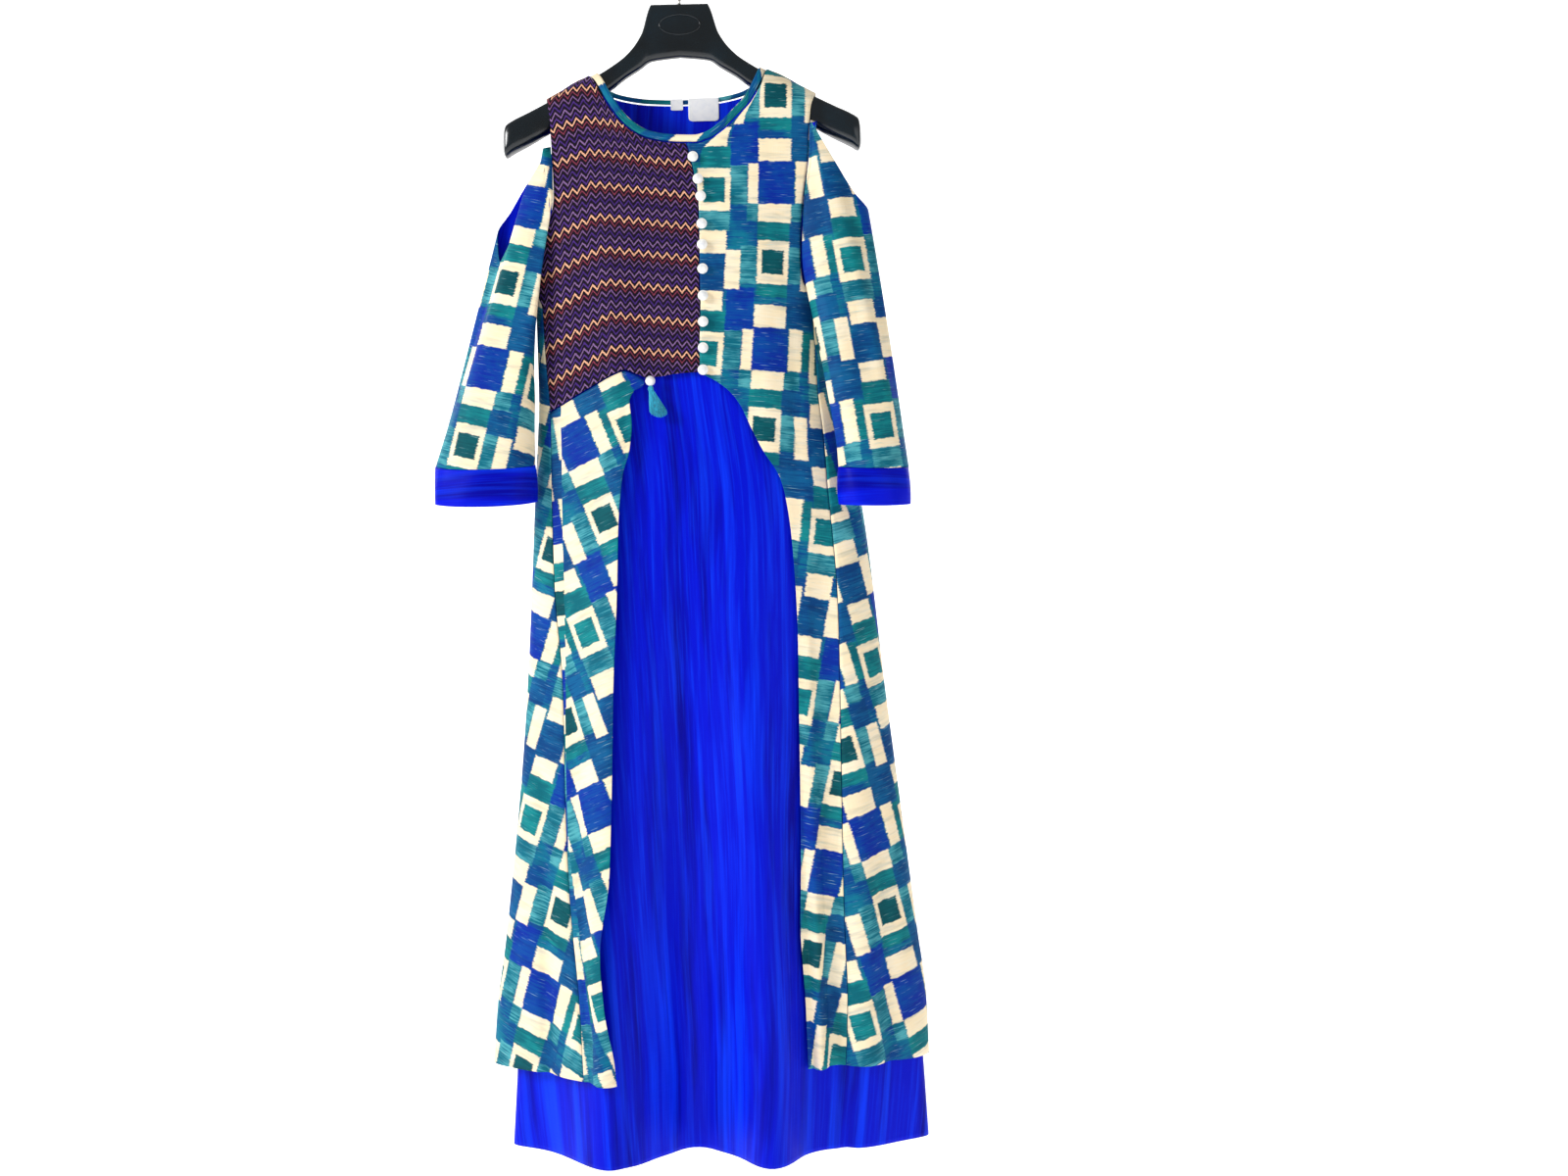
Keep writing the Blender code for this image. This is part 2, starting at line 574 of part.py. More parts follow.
def build_under_back():
    """The blue back of the inner dress."""
    down = levels(*SHOULDER_ROWS, *UNDER_BACK_ROWS)
    neck = neck_knots(NECK_EDGE_BACK, BINDING_BACK_WIDTH + NECK_SEAM)
    build_under_panel("under_back", neck, BACK, ARMHOLE_LEFT_BACK[:-1], ARMHOLE_RIGHT_BACK[:-1],
                      neck_steps=4, down=down)


def build_under_panel(name, neck, face, armhole_left, armhole_right, neck_steps, down):
    """One side of the inner dress: armholes inside the outer ones, then the side seams."""
    tips = SHOULDER_TIP_LEFT + UNDERARM_INSET, SHOULDER_TIP_RIGHT - UNDERARM_INSET
    knots = with_shoulders(INNER, neck, *tips)
    across = neck_stations(knots, shoulder_steps=2, neck_steps=neck_steps)
    top = cross_edge(INNER, knots, across, face)
    sides = []
    for armhole, tip in ((armhole_left, tips[0]), (armhole_right, tips[1])):
        start = [Sided(tip, float(shoulder_drop(tip)) + INNER.sink, face)]
        rows = [k for k in inset_edge(armhole[1:], UNDERARM_INSET) if k.drop < ARMHOLE_END]
        side = math.copysign(FAR_SIDE, tip)
        rows += [Sided(side, drop, face) for drop in (UNDERARM, INNER_HEM)]
        sides.append(side_edge(INNER, start + rows, down))
    left, right = sides
    ends = (left[0][-1], right[0][-1])
    bottom = np.stack((ends[0] + (ends[1] - ends[0]) * across, np.full(len(across), INNER_HEM)))
    top[0][0], top[0][-1] = left[0][0], right[0][0]
    return add_panel(name, INNER, top, bottom, left, right, across, down, SILK_COLOUR, 0.4)


def build_binding(name, edge, width, face, steps):
    """The neck binding: a band between the neck edge and the panels, over both layers."""
    outer_edge = neck_knots(edge, width)
    stations = np.linspace(0, 1, steps + 1)
    rows = []
    for knots in (edge, outer_edge):
        xs = np.array([k.x for k in knots], dtype=float)
        drops = np.array([k.drop for k in knots], dtype=float)
        run = np.concatenate(([0.0], np.cumsum(np.hypot(np.diff(xs), np.diff(drops)))))
        rows.append((smooth(run[-1] * stations, run, xs), smooth(run[-1] * stations, run, drops)))
    grid = []
    sign = -1.0 if face == FRONT else 1.0
    for x, drop in rows:
        outer, inner = OUTER.depth(x, drop, face), INNER.depth(x, drop, face)
        depth = np.maximum((outer + inner) / 2, BINDING_WALL / 2 + SEAM)
        sunk = LAYER_GAP / 2 * (depth < BINDING_SHOULDER)
        grid.append(np.stack((x, sign * depth, -drop - sunk), axis=-1))
    return add_cloth(name, np.array(grid), PRINT_COLOUR, wall=BINDING_WALL)


def armhole_points(knots, first_drop, last_drop, steps, wrap):
    """Points along an armhole, in millimetres, moved off the cloth for the sleeve's edge."""
    drops = np.array([k.drop for k in knots])
    turns = np.array([float(OUTER.turn(k.x, k.drop, k.face)) for k in knots])
    if wrap:
        turns += np.array([1.0 if k.face == FRONT else 0.0 for k in knots])
    at = np.linspace(first_drop, last_drop, steps)
    turn = smooth(at, drops, turns)
    here = OUTER.point(turn, at)
    nudge = 0.002
    along = OUTER.point(turn + nudge, at) - OUTER.point(turn - nudge, at)
    out = np.stack((along[:, 1], -along[:, 0]), axis=-1)
    out /= np.linalg.norm(out, axis=1)[:, None]
    share = np.abs(at - min(first_drop, last_drop)) / abs(last_drop - first_drop)
    here[:, :2] += out * (ARMHOLE_LAP + (SLEEVE_CLEARANCE - ARMHOLE_LAP) * share)[:, None]
    return here


def clear_of_body(points):
    """Sleeve points moved straight out from the body's middle until they clear its section."""
    x, y, drop = points[..., 0], points[..., 1], -points[..., 2]
    middle, half = OUTER.middle_and_half(drop)
    deep = np.where(y < 0, OUTER.column(FRONT, drop), OUTER.column(BACK, drop))
    reach = (np.abs((x - middle) / (half + SLEEVE_CLEARANCE)) ** SECTION_POWER
             + np.abs(y / (deep + SLEEVE_CLEARANCE)) ** SECTION_POWER)
    grow = np.maximum(1.0, reach ** (-1 / SECTION_POWER))
    return np.stack((middle + (x - middle) * grow, y * grow, -drop), axis=-1)


def sleeve_head(sleeve, front_armhole, back_armhole):
    """The loop at a sleeve's top: down the front armhole, up the back one, then the free edge."""
    low = front_armhole[-1].drop
    wrap = front_armhole[0].x < 0
    front = armhole_points(front_armhole, sleeve.top_front, low - 2, ARMHOLE_STEPS, False)
    back = armhole_points(back_armhole, low - 2, sleeve.top_back, ARMHOLE_STEPS, wrap)
    rim = np.array([(r.x, r.y, -r.drop) for r in sleeve.rim])
    return np.concatenate((front[:-1], (front[-1:] + back[:1]) / 2, back[1:], rim, front[:1]))


def sleeve_foot(sleeve, count):
    """The loop at a sleeve's lower end, an oval turned about the upright."""
    side = math.copysign(1.0, sleeve.cuff_middle.x)
    rims = len(sleeve.rim)
    far_part = FOOT_FAR + (1 + FOOT_NEAR - FOOT_FAR) * np.arange(1, rims + 2) / (rims + 1)
    share = np.concatenate((np.linspace(FOOT_NEAR, FOOT_FAR, count - rims - 1), far_part))
    angle = 2 * math.pi * share
    across = sleeve.cuff_half_width * np.cos(angle) * side
    deep = -sleeve.cuff_half_depth * np.sin(angle)
    turn = sleeve.cuff_turn * side
    x = across * math.cos(turn) - deep * math.sin(turn)
    y = across * math.sin(turn) + deep * math.cos(turn)
    droop = sleeve.cuff_droop * np.clip(np.sin(angle), 0, 1)
    return np.stack((x + sleeve.cuff_middle.x, y + sleeve.cuff_middle.y,
                     -droop - sleeve.cuff_middle.drop), axis=-1)


def build_sleeve(sleeve, front_armhole, back_armhole):
    """A printed sleeve from its armhole and open shoulder to the cuff, and the blue cuff."""
    head = sleeve_head(sleeve, front_armhole, back_armhole)
    foot = sleeve_foot(sleeve, len(head))
    foot[-1] = foot[0]
    down = levels(*SLEEVE_ROWS)[:, None, None]
    points = head[None] * (1 - down) + foot[None] * down
    points[:, :, 1] += sleeve.swing * np.sin(math.pi * down[:, :, 0])
    points[1:] = clear_of_body(points[1:])
    add_cloth(f"sleeve_{sleeve.name}", points, PRINT_COLOUR, closed=True)
    middle = np.array([sleeve.cuff_middle.x, sleeve.cuff_middle.y, 0.0])
    start = foot - np.array([0, 0, SEAM])
    end = (foot - middle) * np.array([CUFF_FLARE, CUFF_FLARE, 1]) + middle - np.array([0, 0, CUFF_LENGTH])
    share = levels((1, 1))[:, None, None]
    add_cloth(f"cuff_{sleeve.name}", start[None] * (1 - share) + end[None] * share, SILK_COLOUR,
              0.4, closed=True)


def build_buttons():
    """The pearl buttons, on the printed side of the front opening."""
    for number, drop in enumerate(BUTTON_DROPS, start=1):
        x = float(smooth(drop, [k.drop for k in PLACKET], [k.x for k in PLACKET])) + BUTTON_OFFSET
        reach = np.linspace(-BUTTON_WIDTH / 4, BUTTON_WIDTH / 4, 5)
        near = max(OUTER.depth(x + reach, drop + np.abs(reach), FRONT))
        sink = LOW_BUTTON_SINK if drop == BUTTON_DROPS[-1] else 0.0
        y = -(near + WALL / 2 + SEAM + BUTTON_DEPTH / 2 - sink)
        bm = bmesh.new()
        bmesh.ops.create_uvsphere(bm, u_segments=8, v_segments=6, radius=BUTTON_WIDTH / 2 * MM)
        bmesh.ops.scale(bm, vec=(1, 1, BUTTON_DEPTH / BUTTON_WIDTH), verts=bm.verts[:])
        turn_to_front = ((1, 0, 0), (0, 0, 1), (0, -1, 0))
        for vert in bm.verts:
            vert.co = [sum(a * b for a, b in zip(row, vert.co)) for row in turn_to_front]
        bmesh.ops.translate(bm, vec=(x * MM, y * MM, -drop * MM), verts=bm.verts[:])
        add_object(f"button_{number:02d}", bm, PEARL_COLOUR, 0.25)


def bead_centre():
    """The bead's centre: it hangs against the bodice hem's lower edge."""
    edge = float(OUTER.depth(BEAD_AT.x, BEAD_AT.drop - 6, FRONT)) + WALL / 2
    return np.array([BEAD_AT.x, -(edge + BEAD_SEAT), -BEAD_AT.drop])


def build_bead():
    """The white bead above the tassel."""
    bm = bmesh.new()
    bmesh.ops.create_uvsphere(bm, u_segments=10, v_segments=7, radius=BEAD_WIDTH / 2 * MM)
    bmesh.ops.translate(bm, vec=bead_centre() * MM, verts=bm.verts[:])
    add_object("tassel_bead", bm, PEARL_COLOUR, 0.25)


def build_tassel():
    """The tassel: strands drawn out of the underside of one head."""
    bm = bmesh.new()
    bmesh.ops.create_uvsphere(bm, u_segments=12, v_segments=9, radius=TASSEL_HEAD / 2 * MM)
    under = [f for f in bm.faces if f.calc_center_median().z < -0.25 * TASSEL_HEAD / 2 * MM]
    bmesh.ops.inset_individual(bm, faces=under, thickness=STRAND_INSET * MM)
    pulled = bmesh.ops.extrude_discrete_faces(bm, faces=under)["faces"]
    for number, face in enumerate(pulled):
        middle = face.calc_center_median()
        length = TASSEL_LENGTH * (1 - STRAND_STEP * (number % 3)) * MM
        for vert in face.verts:
            vert.co.x += middle.x * STRAND_SPREAD_X
            vert.co.y += middle.y * STRAND_SPREAD_Y
            vert.co.z = -length + (vert.co.z - middle.z)
    top = bead_centre() + np.array([0, 0, -BEAD_WIDTH / 2 - SEAM - TASSEL_HEAD / 2])
    for vert in bm.verts:
        x, y, z = vert.co
        lean, tilt = math.tan(TASSEL_LEAN), math.tan(TASSEL_TILT)
        vert.co = (x - z * lean + top[0] * MM, y + z * tilt + top[1] * MM, z + top[2] * MM)
    add_object("tassel", bm, TASSEL_COLOUR, 0.8)


def build_label(label):
    """A white label that lies against the inside of the back neck."""
    x, drop = np.meshgrid(np.linspace(label.left, label.right, 4),
                          np.linspace(label.top, label.bottom, 3))
    away = WALL / 2 + SEAM + LABEL_WALL / 2
    points = np.stack((x, INNER.depth(x, drop, BACK) - away, -drop), axis=-1)
    add_cloth(label.name, points, LABEL_COLOUR, wall=LABEL_WALL)


def build_hanger():
    """The hanger's body: oval sections from one arm's end over the neck to the other."""
    mirrored = [Arm(-row.x, row.top, row.bottom, row.half_depth) for row in HANGER_ARM[:0:-1]]
    angles = np.linspace(0, 2 * math.pi, HANGER_SIDES + 1)
    cosine, sine = np.cos(angles), np.sin(angles)
    points = []
    for row in (*mirrored, *HANGER_ARM):
        middle, half = (row.top + row.bottom) / 2, (row.bottom - row.top) / 2
        x = np.full(len(angles), row.x)
        points.append(np.stack((x, cosine * row.half_depth, sine * half - middle), axis=-1))
    bm = grid_bmesh(np.array(points), closed=True)
    ends = [edge for edge in bm.edges if edge.is_boundary]
    bmesh.ops.holes_fill(bm, edges=ends, sides=0)
    add_object("hanger_body", bm, HANGER_COLOUR, 0.15)


def build_hook():
    """The hook: a round wire from the hanger's neck over the rail."""
    crown = HOOK_WIRE / 2 - HOOK_RADIUS
    start_x = HOOK_RADIUS * math.cos(HOOK_START_ANGLE)
    start_z = crown + HOOK_RADIUS * math.sin(HOOK_START_ANGLE)
    foot = -HANGER_ARM[0].top + SEAM
    route = [(x, foot + z) for x, z in HOOK_STEM] + [(start_x / 2, start_z - HOOK_BEND)]
    for angle in np.linspace(HOOK_START_ANGLE, HOOK_END_ANGLE, HOOK_STEPS + 1):
        route.append((HOOK_RADIUS * math.cos(angle), crown + HOOK_RADIUS * math.sin(angle)))
    curve = bpy.data.curves.new("hanger_hook", "CURVE")
    curve.dimensions = "3D"
    curve.bevel_depth = HOOK_WIRE / 2 * MM
    curve.bevel_resolution = 2
    curve.use_fill_caps = True
    spline = curve.splines.new("POLY")
    spline.points.add(len(route) - 1)
    for point, (x, z) in zip(spline.points, route):
        point.co = (x * MM, 0.0, z * MM, 1.0)
    curve.materials.append(make_material("hanger_hook", HOOK_COLOUR, 0.3, 1.0))
    item = bpy.data.objects.new("hanger_hook", curve)
    bpy.data.collections[COLLECTION].objects.link(item)


def main():
    """Clear the scene and build every piece."""
    for item in list(bpy.data.objects):
        bpy.data.objects.remove(item, do_unlink=True)
    bpy.context.scene.collection.children.link(bpy.data.collections.new(COLLECTION))
    build_under_front()
    build_under_back()
    build_chevron_bodice()
    build_print_front()
    build_print_skirt()
    build_print_back()
    build_sleeve(SLEEVE_RIGHT, ARMHOLE_LEFT_FRONT, ARMHOLE_LEFT_BACK)
    build_sleeve(SLEEVE_LEFT, ARMHOLE_RIGHT_FRONT, ARMHOLE_RIGHT_BACK)
    build_binding("neck_binding_front", NECK_EDGE_FRONT, BINDING_FRONT_WIDTH, FRONT,
                  BINDING_FRONT_STEPS)
    build_binding("neck_binding_back", NECK_EDGE_BACK, BINDING_BACK_WIDTH, BACK,
                  BINDING_BACK_STEPS)
    build_buttons()
    build_bead()
    build_tassel()
    for label in LABELS:
        build_label(label)
    build_hanger()
    build_hook()


main()
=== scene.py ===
"""Looks of a long layered silk dress that hangs on a suit hanger.

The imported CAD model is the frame. Every cloth panel is laid again, finely, over the same dress
sections, with its folds, walls and print, and takes the place of its plain CAD solid. Lengths in
the tables are millimetres and a drop is a distance below the hook's crown, the origin. The front
faces -Y and +X is the viewer's right.
"""

import logging
import math
from dataclasses import dataclass, field
from enum import Enum
from typing import Optional, Sequence

import bmesh
import bpy
import numpy as np
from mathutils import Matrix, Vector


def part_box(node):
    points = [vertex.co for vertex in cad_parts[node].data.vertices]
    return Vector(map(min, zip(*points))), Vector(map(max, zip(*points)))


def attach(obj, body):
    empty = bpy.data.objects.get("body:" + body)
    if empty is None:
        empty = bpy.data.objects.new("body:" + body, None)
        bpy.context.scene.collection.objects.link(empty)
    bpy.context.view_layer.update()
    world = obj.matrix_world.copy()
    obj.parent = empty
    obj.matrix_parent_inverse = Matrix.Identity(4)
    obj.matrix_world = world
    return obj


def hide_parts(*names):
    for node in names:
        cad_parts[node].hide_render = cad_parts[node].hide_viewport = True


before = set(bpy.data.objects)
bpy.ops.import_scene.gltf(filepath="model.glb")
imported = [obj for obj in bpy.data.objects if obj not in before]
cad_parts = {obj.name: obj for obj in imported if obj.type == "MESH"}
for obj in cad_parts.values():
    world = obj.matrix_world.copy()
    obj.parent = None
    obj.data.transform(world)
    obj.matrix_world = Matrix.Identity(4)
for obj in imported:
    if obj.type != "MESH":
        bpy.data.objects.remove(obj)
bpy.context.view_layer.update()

LOG = logging.getLogger("dress")
MM = 0.001
Array = np.ndarray


class Face(Enum):
    """The side of the dress that a point lies on."""

    FRONT = "front"
    BACK = "back"


@dataclass(frozen=True)
class Section:
    """One cross section of a layer: its sides, and its depth in front and behind."""

    drop: float
    left: float
    right: float
    front: float
    back: float


@dataclass(frozen=True)
class Fold:
    """A soft fold that grows from its top to the hem."""

    x_top: float
    x_hem: float
    drop_top: float
    drop_hem: float
    width_top: float
    width_hem: float
    rise: float


@dataclass(frozen=True)
class Knot:
    """A point of an edge on one face of the dress."""

    x: float
    drop: float
    face: Face = Face.FRONT


SECTION_POWER = 2.5
WIDEST = 0.999999
LAYER_GAP = 3.0
SKIRT_EXTRA_GAP = 2.6
SKIRT_TOP = 560.0
LAYER_BLEND = 2.0
SHOULDER_END = 300.0
SHOULDER_ROUND = 30.0
CLOSED_EDGE = 0.55
NECK_HALF = 100.0
NECK_DROP = 134.5
SHOULDER_SLOPE = 0.515
OUTER_HEM = 1330.0
INNER_HEM = 1430.0
SHOULDER_TIP = 163.0
WALL = 1.0
# How far panels start beyond the binding and the bodice hem, and how far they stop short of the
# placket and the side seams.
NECK_TUCK = 2.4
BODICE_TUCK = 2.4
PLACKET_GAP = 0.6
SEAM_GAP = 0.35


def smooth(at: Array, knots: Sequence[float], values: Sequence[float]) -> Array:
    """Read a monotone cubic through knots, which never overshoots them.

    Args:
        at: Places to read.
        knots: Places of the known values, rising.
        values: The known values.

    Returns:
        The curve's values, of the shape of at.
    """
    at, knots, values = (np.asarray(a, dtype=float) for a in (at, knots, values))
    steps = np.diff(knots)
    rates = np.diff(values) / steps
    slopes = np.zeros_like(values)
    same_way = rates[:-1] * rates[1:] > 0
    weights = np.stack((2 * steps[1:] + steps[:-1], steps[1:] + 2 * steps[:-1]))
    safe = np.where(same_way, rates[:-1] * rates[1:], 1.0)
    mean = weights.sum(axis=0) * safe / (weights[0] * rates[1:] + weights[1] * rates[:-1]
                                         + np.where(same_way, 0.0, 1e9))
    slopes[1:-1] = np.where(same_way, mean, 0.0)
    slopes[0], slopes[-1] = rates[0], rates[-1]
    at = np.clip(at, knots[0], knots[-1])
    place = np.clip(np.searchsorted(knots, at, side="right") - 1, 0, len(steps) - 1)
    step = steps[place]
    t = (at - knots[place]) / step
    return (values[place] * (1 + 2 * t) * (1 - t) ** 2 + slopes[place] * step * t * (1 - t) ** 2
            + values[place + 1] * t ** 2 * (3 - 2 * t) + slopes[place + 1] * step * t ** 2 * (t - 1))


def ease(value: Array, start: float, end: float) -> Array:
    """Go from 0 to 1 between start and end, level at both (3t squared less 2t cubed)."""
    t = np.clip((value - start) / (end - start), 0, 1)
    return t * t * (3 - 2 * t)


def signed_power(value: Array, power: float) -> Array:
    """Raise the size of a value to a power and keep its sign."""
    return np.sign(value) * np.abs(value) ** power


def shoulder_drop(x: Array) -> Array:
    """Give the drop of the shoulder line at x, a straight slope on each side of the neck."""
    return NECK_DROP + SHOULDER_SLOPE * (np.abs(x) - NECK_HALF)


@dataclass
class Drape:
    """One layer of the hanging dress: superellipse sections with folds laid over them.

    The depth of the cloth is the section's crown plus a sum of bell-shaped folds, and it closes to
    nothing on the shoulder line. An outer layer stays a gap in front of the layer under it.
    """

    sections: Sequence[Section]
    folds: dict[Face, Sequence[Fold]]
    sink: float = 0.0
    under: Optional["Drape"] = None

    def column(self, name: str, drop: Array) -> Array:
        """Read one column of the section table at a drop."""
        return smooth(drop, [row.drop for row in self.sections],
                      [getattr(row, name) for row in self.sections])

    def middle_and_half(self, drop: Array) -> tuple[Array, Array]:
        """Give the section's middle and half width at a drop."""
        left, right = self.column("left", drop), self.column("right", drop)
        return (left + right) / 2, (right - left) / 2

    def fold_height(self, x: Array, drop: Array, face: Face) -> Array:
        """Sum the folds: each is a bell across, and grows as a power of its run down."""
        height = np.zeros(np.broadcast(x, drop).shape)
        for fold in self.folds[face]:
            run = np.clip((drop - fold.drop_top) / (fold.drop_hem - fold.drop_top), 0, 1)
            centre = fold.x_top + (fold.x_hem - fold.x_top) * run
            width = fold.width_top + (fold.width_hem - fold.width_top) * run
            height = height + fold.rise * run ** 1.2 * np.exp(-((x - centre) / width) ** 2)
        return height

    def depth(self, x: Array, drop: Array, face: Face) -> Array:
        """Give how far the cloth stands in front of the hanger's plane, or behind it."""
        middle, half = self.middle_and_half(drop)
        across = np.clip(np.abs(x - middle) / half, 0, 1)
        crown = (1 - across ** SECTION_POWER) ** (1 / SECTION_POWER)
        folds = self.fold_height(x, drop, face) * (1 - across ** 4)
        below = np.clip((drop - shoulder_drop(x) - self.sink) / SHOULDER_ROUND, 0, 1)
        closing = np.sqrt(1 - (1 - below) ** 2)
        depth = (self.column(face.value, drop) * crown + folds) * closing
        if self.under is not None:
            gap = LAYER_GAP + SKIRT_EXTRA_GAP * (drop > SKIRT_TOP)
            other = self.under.depth(x, drop, face) + gap * closing
            apart = np.sqrt((depth - other) ** 2 + (LAYER_BLEND * closing) ** 2)
            blend = (depth + other + apart) / 2
            depth = np.where(drop < SHOULDER_END, np.maximum(depth, other), blend)
        return np.maximum(depth, CLOSED_EDGE)

    def turn(self, x: Array, drop: Array, face: Face) -> Array:
        """Give the place round the section, from 0 at the left side by the front to 1."""
        middle, half = self.middle_and_half(drop)
        across = np.clip((x - middle) / half, -WIDEST, WIDEST)
        cosine = -signed_power(across, SECTION_POWER / 2)
        angle = np.arccos(cosine) / (2 * math.pi)
        return angle if face is Face.FRONT else 1 - angle

    def point(self, turn: Array, drop: Array) -> Array:
        """Give the point at a place round the section, in mm."""
        angle = 2 * math.pi * turn
        middle, half = self.middle_and_half(drop)
        x = middle - half * signed_power(np.cos(angle), 2 / SECTION_POWER)
        y = np.where(np.sin(angle) >= 0, -self.depth(x, drop, Face.FRONT),
                     self.depth(x, drop, Face.BACK))
        return np.stack((x, y, -drop * np.ones_like(x)), axis=-1)


INNER = Drape(
    sections=(
        Section(120, -196, 194, 27.0, 27.0), Section(230, -184, 174, 29.0, 26.5),
        Section(330, -176, 160, 33.0, 28.0), Section(410, -172, 153, 36.0, 29.0),
        Section(520, -171, 163, 38.0, 32.0), Section(650, -181, 197, 39.0, 37.0),
        Section(900, -197, 224, 36.0, 48.0), Section(1180, -218, 254, 32.0, 62.0),
        Section(1330, -224, 266, 30.0, 70.0), Section(INNER_HEM, -231, 271, 29.0, 76.0),
    ),
    folds={
        Face.FRONT: (
            Fold(-70, -112, 560, INNER_HEM, 60, 62, 74), Fold(62, 78, 560, INNER_HEM, 50, 46, 72),
            Fold(150, 190, 700, INNER_HEM, 40, 52, 22), Fold(-10, -16, 640, INNER_HEM, 24, 34, -8),
            Fold(-30, -40, 560, INNER_HEM, 9, 12, 3.0), Fold(38, 44, 620, INNER_HEM, 8, 11, -3.0),
            Fold(96, 116, 900, INNER_HEM, 8, 12, -4.0), Fold(-86, -92, 760, INNER_HEM, 9, 12, -3.5),
            Fold(14, 18, 700, INNER_HEM, 7, 10, 2.5), Fold(146, 168, 1100, INNER_HEM, 7, 9, -5.0),
        ),
        Face.BACK: (
            Fold(-90, -140, 620, INNER_HEM, 46, 60, 24), Fold(0, 10, 560, INNER_HEM, 46, 60, 26),
            Fold(95, 165, 620, INNER_HEM, 46, 60, 24),
        ),
    },
    sink=LAYER_GAP,
)
OUTER = Drape(
    sections=(
        Section(120, -200, 198, 29.4, 29.4), Section(230, -191, 181, 32.0, 29.0),
        Section(330, -185, 168, 37.5, 31.5), Section(410, -181, 161, 41.0, 33.0),
        Section(520, -180, 172, 44.0, 37.0), Section(650, -187, 204, 46.0, 43.0),
        Section(900, -203, 231, 45.0, 55.0), Section(1180, -234, 262, 44.0, 70.0),
        Section(1260, -246, 271, 43.0, 76.0), Section(OUTER_HEM, -252, 273, 43.0, 82.0),
    ),
    folds={
        Face.FRONT: (
            Fold(-108, -77, 170, 520, 22, 26, 6), Fold(-84, -118, 520, OUTER_HEM, 42, 58, 72),
            Fold(-172, -142, 470, OUTER_HEM, 12, 13, -9), Fold(-205, -212, 620, OUTER_HEM, 26, 34, 16),
            Fold(128, 139, 560, OUTER_HEM, 18, 14, 26), Fold(158, 154, 480, OUTER_HEM, 10, 10, -8),
            Fold(190, 197, 560, OUTER_HEM, 24, 30, 26), Fold(225, 252, 800, OUTER_HEM, 18, 20, 12),
            Fold(-84, -74, 300, 520, 5, 6, -1.6), Fold(-50, -40, 200, 500, 10, 14, -1.4),
            Fold(70, 96, 180, 520, 12, 14, 2.0), Fold(104, 128, 200, 480, 7, 8, -2.2),
            Fold(-156, -130, 600, OUTER_HEM, 6, 7, -11.0), Fold(-186, -182, 640, OUTER_HEM, 6, 8, -9.0),
            Fold(140, 158, 700, OUTER_HEM, 5, 6, -9.0), Fold(206, 224, 700, OUTER_HEM, 7, 9, -9.0),
            Fold(-96, -90, 700, OUTER_HEM, 7, 9, -7.0),
        ),
        Face.BACK: (
            Fold(-120, -205, 520, OUTER_HEM, 34, 44, 26), Fold(-58, -98, 500, OUTER_HEM, 34, 46, 30),
            Fold(6, 8, 480, OUTER_HEM, 34, 46, 32), Fold(66, 112, 500, OUTER_HEM, 34, 46, 30),
            Fold(122, 216, 520, OUTER_HEM, 34, 44, 26), Fold(-30, -44, 420, OUTER_HEM, 10, 16, -5),
            Fold(34, 52, 440, OUTER_HEM, 10, 16, -5), Fold(-88, -150, 560, OUTER_HEM, 11, 16, -6),
            Fold(96, 164, 540, OUTER_HEM, 11, 16, -6),
        ),
    },
    under=INNER,
)

NECK_FRONT = (
    Knot(-103, 136.0), Knot(-96, 147), Knot(-85, 168), Knot(-74, 186), Knot(-57, 205),
    Knot(-38, 216), Knot(-11, 221), Knot(15, 222), Knot(27, 219), Knot(43, 209),
    Knot(60, 193), Knot(75, 177), Knot(86, 158), Knot(97, 133.0),
)
NECK_BACK = (
    Knot(-103, 136.0), Knot(-92, 147), Knot(-66, 156), Knot(-38, 160), Knot(0, 161.5),
    Knot(38, 160), Knot(66, 155.5), Knot(88, 146), Knot(97, 133.0),
)
BINDING_FRONT_WIDTH = 8.5
BINDING_BACK_WIDTH = 5.5

ARMHOLE_LEFT_FRONT = (
    Knot(-163, 167.0), Knot(-158, 200), Knot(-157, 231), Knot(-155, 287), Knot(-163, 327),
    Knot(-172, 354), Knot(-177, 371), Knot(-178, 404),
)
SEAM_LEFT = (
    Knot(-172, 424), Knot(-170, 473), Knot(-165, 547), Knot(-165, 666), Knot(-164, 759),
    Knot(-157, 860), Knot(-156, 1000), Knot(-152, 1130), Knot(-141, 1260), Knot(-138, OUTER_HEM),
)
ARMHOLE_LEFT_BACK = (
    Knot(-163, 167.0, Face.BACK), Knot(-160, 231, Face.BACK), Knot(-161, 290, Face.BACK),
    Knot(-170, 345, Face.BACK), Knot(-181, 390, Face.BACK), Knot(-178, 404),
)
ARMHOLE_RIGHT_FRONT = (
    Knot(163, 167.0), Knot(155, 190), Knot(152, 220), Knot(150, 254), Knot(143, 301),
    Knot(139, 354), Knot(140, 395), Knot(152, 424),
)
SEAM_RIGHT = (
    Knot(152, 440), Knot(153, 475), Knot(158, 560), Knot(164, 650), Knot(172, 766),
    Knot(172, 976), Knot(171, 1115), Knot(169, OUTER_HEM),
)
ARMHOLE_RIGHT_BACK = (
    Knot(163, 167.0, Face.BACK), Knot(154, 231, Face.BACK), Knot(150, 290, Face.BACK),
    Knot(152, 345, Face.BACK), Knot(161, 400, Face.BACK), Knot(152, 424),
)
PLACKET = (
    Knot(5, 232.8), Knot(14, 276), Knot(17, 297), Knot(17.5, 332), Knot(17, 414), Knot(15, 507),
)
